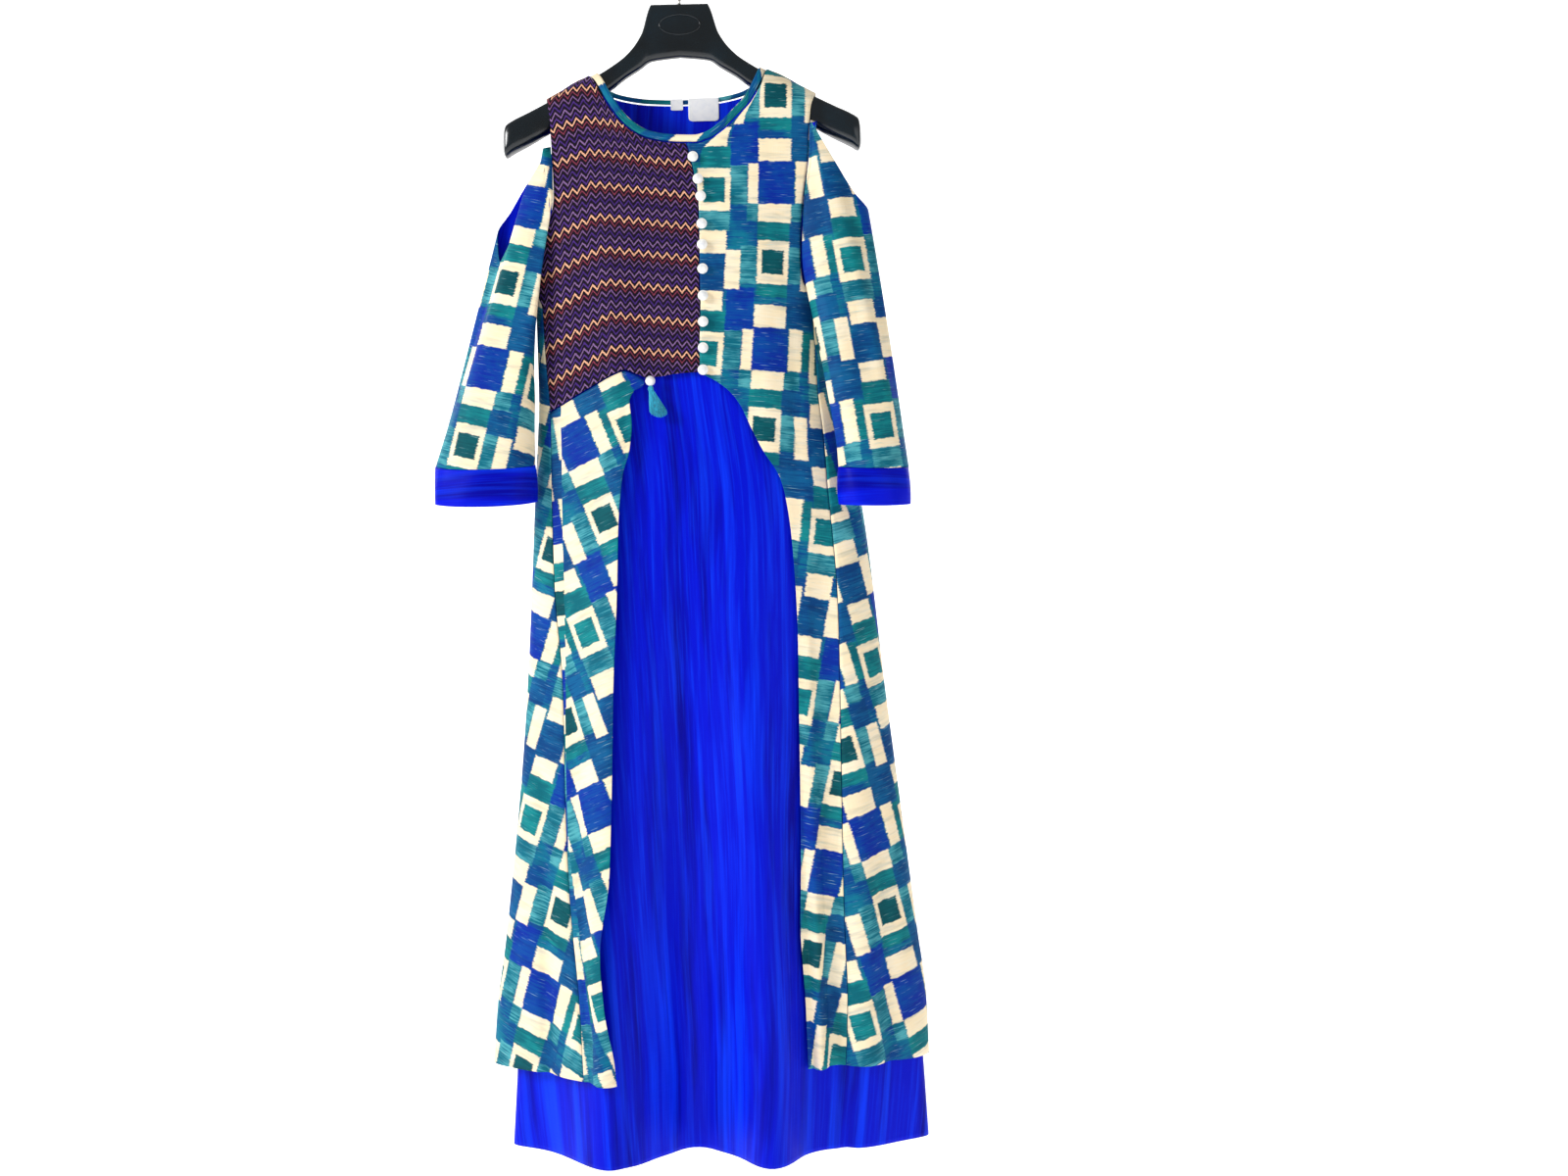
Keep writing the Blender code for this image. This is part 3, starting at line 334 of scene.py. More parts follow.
BODICE_HEM = (
    Knot(-165, 547), Knot(-118, 522), Knot(-86, 506), Knot(-75, 502.5), Knot(-60, 508),
    Knot(-48, 512.5), Knot(-34, 511.5), Knot(-13, 508.5), Knot(15, 507),
)
OPENING_RIGHT = (
    Knot(20, 511), Knot(32, 517.5), Knot(50, 532), Knot(62, 549), Knot(76, 580), Knot(87, 602),
    Knot(106, 634), Knot(113, 661), Knot(118, 700), Knot(122, 770), Knot(122, 950),
    Knot(120, 1100), Knot(118, 1180), Knot(123, OUTER_HEM),
)
OPENING_LEFT = (
    Knot(-52, 513.5), Knot(-51, 521), Knot(-64, 529), Knot(-69, 542), Knot(-67, 563),
    Knot(-70, 597), Knot(-79, 630), Knot(-85, 690), Knot(-88, 765), Knot(-95, 890),
    Knot(-99, 1010), Knot(-103, 1095), Knot(-115, 1175), Knot(-112, 1240), Knot(-101, 1305),
    Knot(-99, OUTER_HEM),
)


def hex_colour(code: str) -> tuple[float, float, float, float]:
    """Turn an sRGB hex colour such as #1A2B3C into linear red, green, blue and alpha."""
    parts = [int(code[i:i + 2], 16) / 255 for i in (1, 3, 5)]
    return (*(c / 12.92 if c <= 0.04045 else ((c + 0.055) / 1.055) ** 2.4 for c in parts), 1.0)


Tree = bpy.types.NodeTree
Socket = bpy.types.NodeSocket


def feed(tree: Tree, node: bpy.types.Node, sockets: dict) -> None:
    """Set a node's inputs, each to its value or to a link from the output socket given."""
    for name, value in sockets.items():
        if isinstance(value, Socket):
            tree.links.new(value, node.inputs[name])
        else:
            node.inputs[name].default_value = value


def put(tree: Tree, kind: str, sockets: Optional[dict] = None, **settings) -> bpy.types.Node:
    """Add a node with its settings and links.

    Args:
        tree: The node tree.
        kind: The node's type, without the word ShaderNode.
        sockets: Input name or number to a value, or to the output socket that feeds it.
        settings: Properties of the node.

    Returns:
        The new node.
    """
    node = tree.nodes.new("ShaderNode" + kind)
    for name, value in settings.items():
        setattr(node, name, value)
    feed(tree, node, sockets or {})
    return node


def new_material(name: str) -> tuple[bpy.types.Material, Tree, bpy.types.Node]:
    """Make an empty node material and give it back with its tree and its Principled shader."""
    material = bpy.data.materials.new(name)
    material.use_nodes = True
    tree = material.node_tree
    tree.nodes.clear()
    shader = put(tree, "BsdfPrincipled")
    put(tree, "OutputMaterial", {"Surface": shader.outputs[0]})
    return material, tree, shader


class Ink(Enum):
    """The dyes of the check print, each as its wet colour and its dry brushed colour."""

    GROUND = ("#004488", "#0A7490")
    CREAM = ("#FFEBC4", "#FFF0D2")
    TEAL = ("#006472", "#10868A")
    HATCH = ("#04687E", "#50A8B2")
    DEEP = ("#002C9C", "#00489C")
    DARK = ("#004A54", "#005860")
    PETROL = ("#00407C", "#085C90")


@dataclass(frozen=True)
class Block:
    """One brushed block of the print, in print units across and down the repeat."""

    x0: float
    x1: float
    y0: float
    y1: float
    ink: Ink


PRINT_UNIT = 1.16
REPEAT_WIDTH = 126.0
REPEAT_LENGTH = 173.0
PRINT_BLOCKS = (
    Block(34, 63, 50, 96, Ink.DEEP), Block(98, 128, 44, 90, Ink.PETROL),
    Block(2, 33, 15, 56, Ink.PETROL), Block(2, 34, 75, 99, Ink.TEAL),
    Block(1, 34, 143, 165, Ink.HATCH), Block(47, 65, 6, 46, Ink.HATCH),
    Block(34, 52, 95, 136, Ink.HATCH), Block(52, 65, 134, 154, Ink.HATCH),
    Block(65, 98, 45, 58, Ink.TEAL), Block(64, 98, 153, 175, Ink.TEAL),
    Block(98, 113, 2, 43, Ink.HATCH), Block(116, 127, 92, 132, Ink.TEAL),
    Block(98, 105, 90, 134, Ink.TEAL), Block(98, 116, 133, 153, Ink.HATCH),
    Block(98, 119, 152, 179, Ink.PETROL), Block(61, 102, 90, 135, Ink.DEEP),
    Block(3, 31, -9, 15, Ink.CREAM), Block(3, 30, 55, 75, Ink.CREAM),
    Block(31, 47, 11, 52, Ink.CREAM), Block(53, 64, 93, 135, Ink.CREAM),
    Block(64, 98, 67, 90, Ink.CREAM), Block(65, 99, 135, 154, Ink.CREAM),
    Block(112, 126, 6, 50, Ink.CREAM), Block(103, 117, 90, 133, Ink.CREAM),
    Block(0, 34, 98, 143, Ink.CREAM), Block(5.5, 28.5, 107.5, 134, Ink.TEAL),
    Block(65, 98, 0, 45, Ink.CREAM), Block(70, 93, 9.5, 34.5, Ink.DARK),
)


def maths(tree: Tree, operation: str, *values: object, clamp: bool = False) -> Socket:
    """Combine numbers with a Math node."""
    return put(tree, "Math", dict(enumerate(values)), operation=operation, use_clamp=clamp).outputs[0]


def vectors(tree: Tree, operation: str, *values: object) -> Socket:
    """Combine vectors with a Vector Math node."""
    return put(tree, "VectorMath", dict(enumerate(values)), operation=operation).outputs[0]


def noise(tree: Tree, place: Socket, scale: float, detail: float = 2.0) -> Socket:
    """Give noise at a place."""
    return put(tree, "TexNoise", {"Vector": place, "Scale": scale, "Detail": detail}).outputs[0]


def relief(tree: Tree, height: Socket, strength: float, distance: float) -> Socket:
    """Give a normal bumped by a height, with the distance in metres."""
    return put(tree, "Bump", {"Height": height, "Strength": strength, "Distance": distance}).outputs[0]


def cloth_place(tree: Tree) -> Socket:
    """Give the place on the cut cloth in mm, from the piece's UV map, which is in metres."""
    return vectors(tree, "MULTIPLY", put(tree, "UVMap", uv_map="cloth").outputs[0],
                   (1000.0, 1000.0, 0.0))


def streaks(tree: Tree, cloth: Socket, across_mm: float, along_mm: float, detail: float = 3.0,
            roughness: float = 0.6) -> Socket:
    """Give noise drawn out into streaks: across_mm wide and along_mm long, down the cloth."""
    drawn = vectors(tree, "MULTIPLY", cloth, (1 / across_mm, 1 / along_mm, 1.0))
    return put(tree, "TexNoise", {"Vector": drawn, "Scale": 1.0, "Detail": detail,
                                  "Roughness": roughness}).outputs[0]


def stretch(tree: Tree, value: Socket, low: float, high: float, to_low: float = 0.0,
            to_high: float = 1.0) -> Socket:
    """Map a value's range onto another, held at both ends."""
    return put(tree, "MapRange", {0: value, 1: low, 2: high, 3: to_low, 4: to_high}).outputs[0]


def blend(tree: Tree, share: object, first: object, second: object, mode: str = "MIX") -> Socket:
    """Mix two colours by a share."""
    return put(tree, "Mix", {0: share, 6: first, 7: second}, data_type="RGBA",
               blend_type=mode).outputs[2]


@dataclass(frozen=True)
class SilkWeave:
    """The slub silk that all the cloth is woven from.

    Slub yarn is spun unevenly, so it shows as long thicker threads. The real yarns are 0.3 mm apart,
    too fine for the render, so the weave is drawn at thread_mm.
    """

    thread_mm: float = 1.1
    slub_mm: float = 2.6
    slub_length_mm: float = 60.0

    def bump(self, tree: Tree, cloth: Socket, strength: float) -> Socket:
        """Give a normal for the weave: slubs along both yarns and a fine grain of threads.

        Args:
            tree: The material's nodes.
            cloth: Place on the cloth, in mm.
            strength: The bump's strength.

        Returns:
            The normal socket.
        """
        slubs = maths(tree, "ADD", streaks(tree, cloth, self.slub_mm, self.slub_length_mm, 2.0, 0.5),
                      streaks(tree, cloth, self.slub_length_mm, self.slub_mm, 2.0, 0.5))
        fine = noise(tree, cloth, 1 / self.thread_mm, 1.0)
        return relief(tree, maths(tree, "MULTIPLY_ADD", fine, 0.35, slubs), strength, 0.0006)


@dataclass(frozen=True)
class CheckPrintSilk:
    """Slub silk with a brushed check print: dyed blocks with ragged edges and dry strokes."""

    name: str = "check_print_slub_silk"
    ragged_mm: float = 1.5
    stroke_mm: float = 1.9
    stroke_length_mm: float = 38.0
    edge_mm: float = 0.45

    def build(self) -> bpy.types.Material:
        """Make the material: two chains of blocks, wet and dry, mixed by brush strokes."""
        material, tree, shader = new_material(self.name)
        cloth = cloth_place(tree)
        side_fray = streaks(tree, cloth, 16.0, self.stroke_mm * 0.6, 3.0, 0.7)
        end_fray = noise(tree, cloth, 0.12, 3.0)
        frays = put(tree, "CombineXYZ", {0: side_fray, 1: end_fray, 2: 0.5}).outputs[0]
        centred = vectors(tree, "SUBTRACT", frays, (0.5, 0.5, 0.5))
        reach = (6.5 * self.ragged_mm, 3.2 * self.ragged_mm, 0.0)
        shifted = vectors(tree, "MULTIPLY_ADD", centred, reach, cloth)
        place = vectors(tree, "MULTIPLY", shifted, (1 / PRINT_UNIT,) * 3)
        wet, dry = (hex_colour(code) for code in Ink.GROUND.value)
        for block in PRINT_BLOCKS:
            mask = self.mask(tree, place, block)
            wet, dry = (blend(tree, mask, under, hex_colour(code))
                        for under, code in zip((wet, dry), block.ink.value))
        sweep = streaks(tree, cloth, self.stroke_length_mm, self.stroke_mm, 4.0, 0.7)
        both = maths(tree, "MULTIPLY_ADD", noise(tree, cloth, 0.03), 0.8, sweep)
        colour = blend(tree, stretch(tree, both, 0.82, 1.02), wet, dry)
        wash = stretch(tree, streaks(tree, cloth, 70.0, 9.0), 0.50, 0.70, 0.0, 0.45)
        colour = blend(tree, wash, colour, hex_colour("#9AB0C0"), "MULTIPLY")
        scratch = stretch(tree, streaks(tree, cloth, 24.0, 1.3, 2.0, 0.5), 0.64, 0.74, 0.0, 0.55)
        feed(tree, shader, {
            "Base Color": blend(tree, scratch, colour, hex_colour("#A8D4D4")),
            "Normal": SilkWeave().bump(tree, cloth, 0.35),
            "Roughness": 0.62, "Specular IOR Level": 0.12})
        return material

    def mask(self, tree: Tree, place: Socket, block: Block) -> Socket:
        """Give 1 inside a block and 0 outside, on every repeat of the print.

        Args:
            tree: The material's nodes.
            place: Place on the cloth in print units.
            block: The block.

        Returns:
            The mask: the smaller of the half sizes less the distances from the centre.
        """
        centre = ((block.x0 + block.x1) / 2, -(block.y0 + block.y1) / 2, 0.0)
        half = ((block.x1 - block.x0) / 2, (block.y1 - block.y0) / 2, 0.0)
        repeat = (REPEAT_WIDTH / 2, REPEAT_LENGTH / 2, 1.0)
        off = vectors(tree, "SUBTRACT", place, centre)
        wrapped = vectors(tree, "WRAP", off, repeat, tuple(-r for r in repeat))
        inside = vectors(tree, "SUBTRACT", half, vectors(tree, "ABSOLUTE", wrapped))
        parts = put(tree, "SeparateXYZ", {0: inside})
        least = maths(tree, "MINIMUM", parts.outputs[0], parts.outputs[1])
        return stretch(tree, least, -self.edge_mm, self.edge_mm)


@dataclass(frozen=True)
class BlueSilk:
    """Royal-blue slub silk with lengthwise streaks: thin slub-yarn threads and broad painted sheen
    highlights in a brighter blue, and painted fold shade in a deeper blue.
    """

    name: str = "royal_blue_slub_silk"
    base: str = "#0010CC"
    # Painted sheen highlight colour, also used for the slub threads.
    bright: str = "#0640FF"
    # Painted fold shade colour.
    deep: str = "#000298"

    def build(self) -> bpy.types.Material:
        """Make the material: broad painted sheen highlights and thin slub threads in the brighter blue,
        and painted fold shade in the deeper blue, over the base.
        """
        material, tree, shader = new_material(self.name)
        straight = cloth_place(tree)
        sway = put(tree, "CombineXYZ", {0: streaks(tree, straight, 120.0, 420.0, 1.0)}).outputs[0]
        cloth = vectors(tree, "MULTIPLY_ADD", sway, (26.0, 0.0, 0.0), straight)
        # Broad bright streaks: painted sheen highlights.
        sheen_bands = stretch(tree, streaks(tree, cloth, 20.0, 520.0), 0.50, 0.70)
        # Thin slub-yarn threads, drawn in the painted highlight colour.
        threads = stretch(tree, streaks(tree, cloth, 3.0, 130.0), 0.50, 0.74)
        # Painted fold shade: random dark streaks that deepen the base.
        shade = stretch(tree, streaks(tree, cloth, 30.0, 420.0), 0.50, 0.34)
        colour = blend(tree, shade, hex_colour(self.base), hex_colour(self.deep))
        # Share of the bright blue: slub threads and painted sheen highlights.
        share = maths(tree, "MULTIPLY_ADD", threads, 0.55, sheen_bands, clamp=True)
        softened = maths(tree, "MULTIPLY", share, 0.75)
        feed(tree, shader, {
            "Base Color": blend(tree, softened, colour, hex_colour(self.bright)),
            "Normal": SilkWeave(slub_length_mm=110.0).bump(tree, straight, 0.3),
            "Roughness": 0.45, "Specular IOR Level": 0.08})
        return material


@dataclass(frozen=True)
class ChevronCloth:
    """Yarn-dyed chevron cloth: zigzag rows, every seventh one bold and peach.

    The yarns of each row are twisted in two shades, which shows as flecks along the zigzags.
    """

    name: str = "yarn_dyed_chevron_cloth"
    wave_mm: float = 11.2
    peak_mm: float = 7.6
    repeat_mm: float = 39.5
    stripes: Sequence[tuple[float, str]] = (
        (0.000, "#FFBE98"), (0.070, "#0C0312"), (0.165, "#58368C"), (0.225, "#0C0312"),
        (0.335, "#8C6AA0"), (0.395, "#0C0312"), (0.505, "#4A2C80"), (0.570, "#0C0312"),
        (0.680, "#805C94"), (0.735, "#0C0312"), (0.850, "#8E3A50"), (0.895, "#0C0312"),
    )

    def build(self) -> bpy.types.Material:
        """Make the material: the drop plus a triangle wave picks a row colour."""
        material, tree, shader = new_material(self.name)
        cloth = cloth_place(tree)
        wobble = put(tree, "TexNoise", {"Vector": cloth, "Scale": 0.35, "Detail": 2.0}).outputs[1]
        centred = vectors(tree, "SUBTRACT", wobble, (0.5, 0.5, 0.5))
        moved = vectors(tree, "MULTIPLY_ADD", centred, (1.6, 1.6, 0.0), cloth)
        parts = put(tree, "SeparateXYZ", {0: moved})
        wave = maths(tree, "PINGPONG", parts.outputs[0], self.wave_mm / 2)
        rows = maths(tree, "MULTIPLY_ADD", wave, self.peak_mm / (self.wave_mm / 2), parts.outputs[1])
        phase = maths(tree, "FRACT", maths(tree, "MULTIPLY", rows, 1 / self.repeat_mm))
        ramp = put(tree, "ValToRGB", {0: phase})
        band = ramp.color_ramp
        band.interpolation = "CONSTANT"
        while len(band.elements) < len(self.stripes):
            band.elements.new(0.5)
        for element, (at, code) in zip(band.elements, self.stripes):
            element.position = at
            element.color = hex_colour(code)
        fleck = noise(tree, cloth, 0.9)
        shade = stretch(tree, fleck, 0.45, 0.66, 0.0, 0.6)
        ridge = put(tree, "RGBToBW", {0: ramp.outputs[0]}).outputs[0]
        height = maths(tree, "MULTIPLY_ADD", fleck, 0.5, ridge)
        feed(tree, shader, {
            "Base Color": blend(tree, shade, ramp.outputs[0], hex_colour("#1E0A24")),
            "Normal": relief(tree, height, 0.6, 0.0008),
            "Roughness": 0.85, "Specular IOR Level": 0.2})
        return material


@dataclass(frozen=True)
class PearlFinish:
    """Pearlised polyester resin, cast and polished: white, with a soft gloss over a warm body."""

    name: str = "pearl_polyester_resin"

    def build(self) -> bpy.types.Material:
        """Make the material: a cloudy white under a clear coat."""
        material, tree, shader = new_material(self.name)
        cloud = noise(tree, put(tree, "TexCoord").outputs["Object"], 180.0)
        colour = blend(tree, stretch(tree, cloud, 0.4, 0.65), hex_colour("#FFFDF8"),
                       hex_colour("#E6E8EA"))
        feed(tree, shader, {"Base Color": colour, "Roughness": 0.22, "IOR": 1.53,
                            "Coat Weight": 0.4})
        return material


@dataclass(frozen=True)
class SatinTape:
    """Plain white woven satin label tape, with a faint cross rib."""

    name: str = "white_satin_tape"

    def build(self) -> bpy.types.Material:
        """Make the material: white with a rib 0.8 mm apart, drawn coarse enough to show."""
        material, tree, shader = new_material(self.name)
        cloth = cloth_place(tree)
        parts = put(tree, "SeparateXYZ", {0: cloth})
        rib = maths(tree, "PINGPONG", parts.outputs[1], 0.4)
        dirt = stretch(tree, noise(tree, cloth, 0.12, 3.0), 0.45, 0.7)
        feed(tree, shader, {
            "Base Color": blend(tree, dirt, hex_colour("#FFFFFF"), hex_colour("#F4F6FA")),
            "Normal": relief(tree, rib, 0.3, 0.0003), "Roughness": 0.5})
        return material


@dataclass(frozen=True)
class TasselThread:
    """Mercerised teal cotton thread: bright cyan and deep teal strands side by side."""

    name: str = "teal_cotton_thread"

    def build(self) -> bpy.types.Material:
        """Make the material: thin lengthwise streaks on object coordinates."""
        material, tree, shader = new_material(self.name)
        place = put(tree, "TexCoord").outputs["Object"]
        strand = noise(tree, vectors(tree, "MULTIPLY", place, (900.0, 900.0, 60.0)), 1.0)
        colour = blend(tree, stretch(tree, strand, 0.36, 0.64), hex_colour("#0080A0"),
                       hex_colour("#18B8D8"))
        feed(tree, shader, {"Base Color": colour, "Roughness": 0.6, "Sheen Weight": 0.2})
        return material


@dataclass(frozen=True)
class GlossPolystyrene:
    """Injection-moulded black polystyrene, polished in the mould, with a faint blue cast."""

    name: str = "moulded_black_polystyrene"

    def build(self) -> bpy.types.Material:
        """Make the material: near black, with shallow moulding ripples and dusty roughness."""
        material, tree, shader = new_material(self.name)
        place = put(tree, "TexCoord").outputs["Object"]
        ripple, dust = noise(tree, place, 22.0, 1.0), noise(tree, place, 90.0, 4.0)
        colour = blend(tree, stretch(tree, ripple, 0.35, 0.7), hex_colour("#010A10"),
                       hex_colour("#04161F"))
        feed(tree, shader, {
            "Base Color": colour, "Roughness": stretch(tree, dust, 0.3, 0.7, 0.14, 0.26),
            "Normal": relief(tree, ripple, 0.12, 0.001), "IOR": 1.59})
        return material


@dataclass(frozen=True)
class PlatedWire:
    """Nickel-plated drawn steel wire: bright, with fine lengthwise draw marks."""

    name: str = "nickel_plated_wire"

    def build(self) -> bpy.types.Material:
        """Make the material: a metal whose roughness varies in thin streaks."""
        material, tree, shader = new_material(self.name)
        place = put(tree, "TexCoord").outputs["Object"]
        mark = noise(tree, vectors(tree, "MULTIPLY", place, (1400.0, 1400.0, 120.0)), 1.0)
        feed(tree, shader, {"Roughness": stretch(tree, mark, 0.3, 0.7, 0.16, 0.34),
                            "Base Color": hex_colour("#C9C7C2"), "Metallic": 1.0})
        return material


@dataclass(frozen=True)
class Finishes:
    """Every material of the dress and its hanger, made once."""

    print_silk: bpy.types.Material = field(default_factory=lambda: CheckPrintSilk().build())
    blue_silk: bpy.types.Material = field(default_factory=lambda: BlueSilk().build())
    chevron: bpy.types.Material = field(default_factory=lambda: ChevronCloth().build())
    pearl: bpy.types.Material = field(default_factory=lambda: PearlFinish().build())
    tape: bpy.types.Material = field(default_factory=lambda: SatinTape().build())
    thread: bpy.types.Material = field(default_factory=lambda: TasselThread().build())
    plastic: bpy.types.Material = field(default_factory=lambda: GlossPolystyrene().build())
    wire: bpy.types.Material = field(default_factory=lambda: PlatedWire().build())


@dataclass(frozen=True)
class Grain:
    """How a panel was cut from the cloth: which way its threads run, and where the print falls.

    The threads turn clockwise by an angle that eases in between two drops. The place on the cloth
    is the length across from the pivot's line, turned by the angle, plus the sines and cosines of
    the angle summed down from the pivot, so that the print bends without tearing.
    """

    pivot: Knot
    at_pivot: tuple[float, float]
    turn_degrees: float = 0.0
    ease_start: float = 0.0
    ease_end: float = 1.0

    def place(self, across: Array, drop: Array) -> Array:
        """Give the place on the cloth.

        Args:
            across: Surface length from the pivot's line, in mm.
            drop: Drop of each point, in mm.

        Returns:
            Places in metres, the drop counted upwards, with a last axis of two.
        """
        turn = math.radians(self.turn_degrees)
        levels = np.arange(0.0, 1500.0)
        bend = turn * ease(levels, self.ease_start, self.ease_end)
        lean, fall = (np.interp(drop, levels, total) - np.interp(self.pivot.drop, levels, total)
                      for total in (np.cumsum(np.sin(bend)), np.cumsum(np.cos(bend))))
        angle = turn * ease(drop, self.ease_start, self.ease_end)
        u = across * np.cos(angle) + lean
        v = -across * np.sin(angle) + fall
        return np.stack((u + self.at_pivot[0], -v - self.at_pivot[1]), axis=-1) * MM


def in_print(x: float, y: float) -> tuple[float, float]:
    """Turn a place in the print's own units into mm on the cloth."""
    return x * PRINT_UNIT, y * PRINT_UNIT


def new_piece(name: str, mesh: bpy.types.Mesh, material: bpy.types.Material) -> bpy.types.Object:
    """Give a mesh its finish and smooth shading, and put it in the scene."""
    mesh.shade_smooth()
    mesh.materials.append(material)
    piece = bpy.data.objects.new(name, mesh)
    bpy.context.scene.collection.objects.link(piece)
    return piece


def mend(mesh: bpy.types.Mesh) -> None:
    """Join points that coincide, fill open ends and turn the faces outward."""
    bm = bmesh.new()
    bm.from_mesh(mesh)
    bmesh.ops.remove_doubles(bm, verts=bm.verts[:], dist=1e-6)
    bmesh.ops.holes_fill(bm, edges=[e for e in bm.edges if e.is_boundary], sides=0)
    bmesh.ops.recalc_face_normals(bm, faces=bm.faces[:])
    bm.to_mesh(mesh)
    bm.free()
    mesh.shade_smooth()


def face_corners(grid: Array) -> Array:
    """Give what a grid holds at the four corners of each face, in order round the face."""
    return np.stack((grid[:-1, :-1], grid[:-1, 1:], grid[1:, 1:], grid[1:, :-1]), axis=2)


def add_grid(name: str, points: Array, material: bpy.types.Material, cloth: Optional[Array] = None,
             closed: bool = False, wall: float = WALL,
             lining: Optional[bpy.types.Material] = None) -> bpy.types.Object:
    """Make a sheet of cloth, or a hard skin without a wall, from a grid of points.

    Args:
        name: The piece's name.
        points: Points in mm, rows by columns by three.
        material: Its finish.
        cloth: UV places in metres, rows by columns by two, or faces' corners when it has an extra
            axis of four before the last. Left out where the finish doesn't use them.
        closed: Whether the last column joins the first.
        wall: Thickness of the cloth, in mm.
        lining: Finish of the inner side, where it differs.

    Returns:
        The new object, with a Solidify modifier. Its faces point away from the dress's middle, or
        from each row's middle where it is closed.
    """
    rows, columns = points.shape[:2]
    used = columns - 1 if closed else columns
    index = np.arange(rows * used).reshape(rows, used)
    if closed:
        index = np.concatenate((index, index[:, :1]), axis=1)
    corners = face_corners(index)
    if cloth is None:
        cloth = np.zeros((rows, columns, 2))
    if cloth.ndim == 3:
        cloth = face_corners(cloth)
    centre = points.mean(axis=1, keepdims=True) if closed else points * np.array((0, 0, 1))
    normals = np.cross(points[1:, 1:] - points[:-1, :-1], points[1:, :-1] - points[:-1, 1:])
    if np.sum(normals * (points - centre)[:-1, :-1]) < 0:
        corners, cloth = corners[..., ::-1], cloth[:, :, ::-1]
    mesh = bpy.data.meshes.new(name)
    mesh.from_pydata((points[:, :used].reshape(-1, 3) * MM).tolist(), [],
                     corners.reshape(-1, 4).tolist())
    layer = mesh.uv_layers.new(name="cloth")
    layer.data.foreach_set("uv", cloth.reshape(-1, 2).ravel().astype(np.float32))
    mesh.validate()
    piece = new_piece(name, mesh, material)
    if wall > 0:
        solidify = piece.modifiers.new("cloth_wall", "SOLIDIFY")
        solidify.thickness = wall * MM
        solidify.offset = 0.0
        if lining is not None:
            mesh.materials.append(lining)
            solidify.material_offset = 1
    return piece


def choose_corners(first_here: Array, first: Array, second: Array) -> Array:
    """Give each face's corners all from one of two sets of places, so that the print may jump.

    Args:
        first_here: Whether the first set holds at each point, rows by columns.
        first: Places, rows by columns by two, or by four by two when given at the corners.
        second: The other places, in the same way.

    Returns:
        Places of the four corners of each face, rows by columns by four by two.
    """
    first, second = (places if places.ndim == 4 else face_corners(places)
                     for places in (first, second))
    return np.where(first_here[:-1, :-1, None, None], first, second)


def seam_behind(loops: Array) -> Array:
    """Turn closed loops by half, so that their first and last column meet at the back."""
    half_way = (loops.shape[1] - 1) // 2
    turned = np.roll(loops[:, :-1], half_way, axis=1)
    return np.concatenate((turned, turned[:, :1]), axis=1)


def surface_run(points: Array, anchor: Array, axes: int = 2) -> Array:
    """Give the surface length along each row, counted from the anchor column's place.

    Args:
        points: Rows by columns by three, in mm.
        anchor: For each row, the fractional column that counts as nothing.
        axes: 2 to count level lengths alone, as where the drop is the cloth's other direction, or
            3 to count the true length.

    Returns:
        Lengths in mm, rows by columns.
    """
    steps = np.linalg.norm(np.diff(points[..., :axes], axis=1), axis=2)
    run = np.concatenate((np.zeros((len(points), 1)), np.cumsum(steps, axis=1)), axis=1)
    columns = np.arange(points.shape[1])
    zero = np.array([np.interp(a, columns, r) for a, r in zip(anchor, run)])
    return run - zero[:, None]


def knot_columns(knots: Sequence[Knot]) -> tuple[Array, Array]:
    """Give the knots' x and their drops."""
    return (np.array([knot.x for knot in knots], dtype=float),
            np.array([knot.drop for knot in knots], dtype=float))


def knot_turns(drape: Drape, knots: Sequence[Knot], shift: float = 0.0,
               wrap: bool = False) -> Array:
    """Give the knots' places round a layer; with wrap, the front ones count a turn further."""
    return np.array([float(drape.turn(knot.x + shift, knot.drop, knot.face))
                     + float(wrap and knot.face is Face.FRONT) for knot in knots])


def along_knots(knots: Sequence[Knot], stations: Array, lower: float = 0.0) -> tuple[Array, Array]:
    """Give x and drop at shares of the length of a line through knots, moved down by lower."""
    xs, drops = knot_columns(knots)
    drops = drops + lower
    run = np.concatenate(([0.0], np.cumsum(np.hypot(np.diff(xs), np.diff(drops)))))
    return smooth(run[-1] * stations, run, xs), smooth(run[-1] * stations, run, drops)


def edge_on(drape: Drape, knots: Sequence[Knot], stations: Array, shift: float = 0.0,
            wrap: bool = False) -> Array:
    """Give a panel's side: its turn and drop at each station down it.

    Args:
        drape: The layer.
        knots: The side's knots.
        stations: Places down it, from 0 to 1.
        shift: How far it is moved along x, in mm.
        wrap: Whether front places count one turn further round.

    Returns:
        Two rows: turns and drops.
    """
    drops = knot_columns(knots)[1]
    at = drops[0] + (drops[-1] - drops[0]) * stations
    return np.stack((smooth(at, drops, knot_turns(drape, knots, shift, wrap)), at))


def edge_across(drape: Drape, knots: Sequence[Knot], stations: Array, face: Face,
                lower: float = 0.0) -> Array:
    """Give a panel's top or bottom edge: its turn and drop at each station across it."""
    x, drop = along_knots(knots, stations, lower)
    return np.stack((drape.turn(x, drop, face), drop))


def fill_patch(top: Array, bottom: Array, left: Array, right: Array, across: Array,
               down: Array) -> tuple[Array, Array]:
    """Blend a panel's turn and drop from its four edges (a Coons patch).

    Args:
        top: Turn and drop along the top edge.
        bottom: The same along the bottom edge.
        left: The same down the left side.
        right: The same down the right side.
        across: Stations across.
        down: Stations down.

    Returns:
        Turn and drop, each rows by columns.
    """
    u, v = across[None, :], down[:, None]
    out = []
    for axis in range(2):
        ruled = (1 - v) * top[axis][None, :] + v * bottom[axis][None, :]
        sides = (1 - u) * left[axis][:, None] + u * right[axis][:, None]
        corners = ((1 - v) * ((1 - u) * top[axis][0] + u * top[axis][-1])
                   + v * ((1 - u) * bottom[axis][0] + u * bottom[axis][-1]))
        out.append(ruled + sides - corners)
    return out[0], out[1]


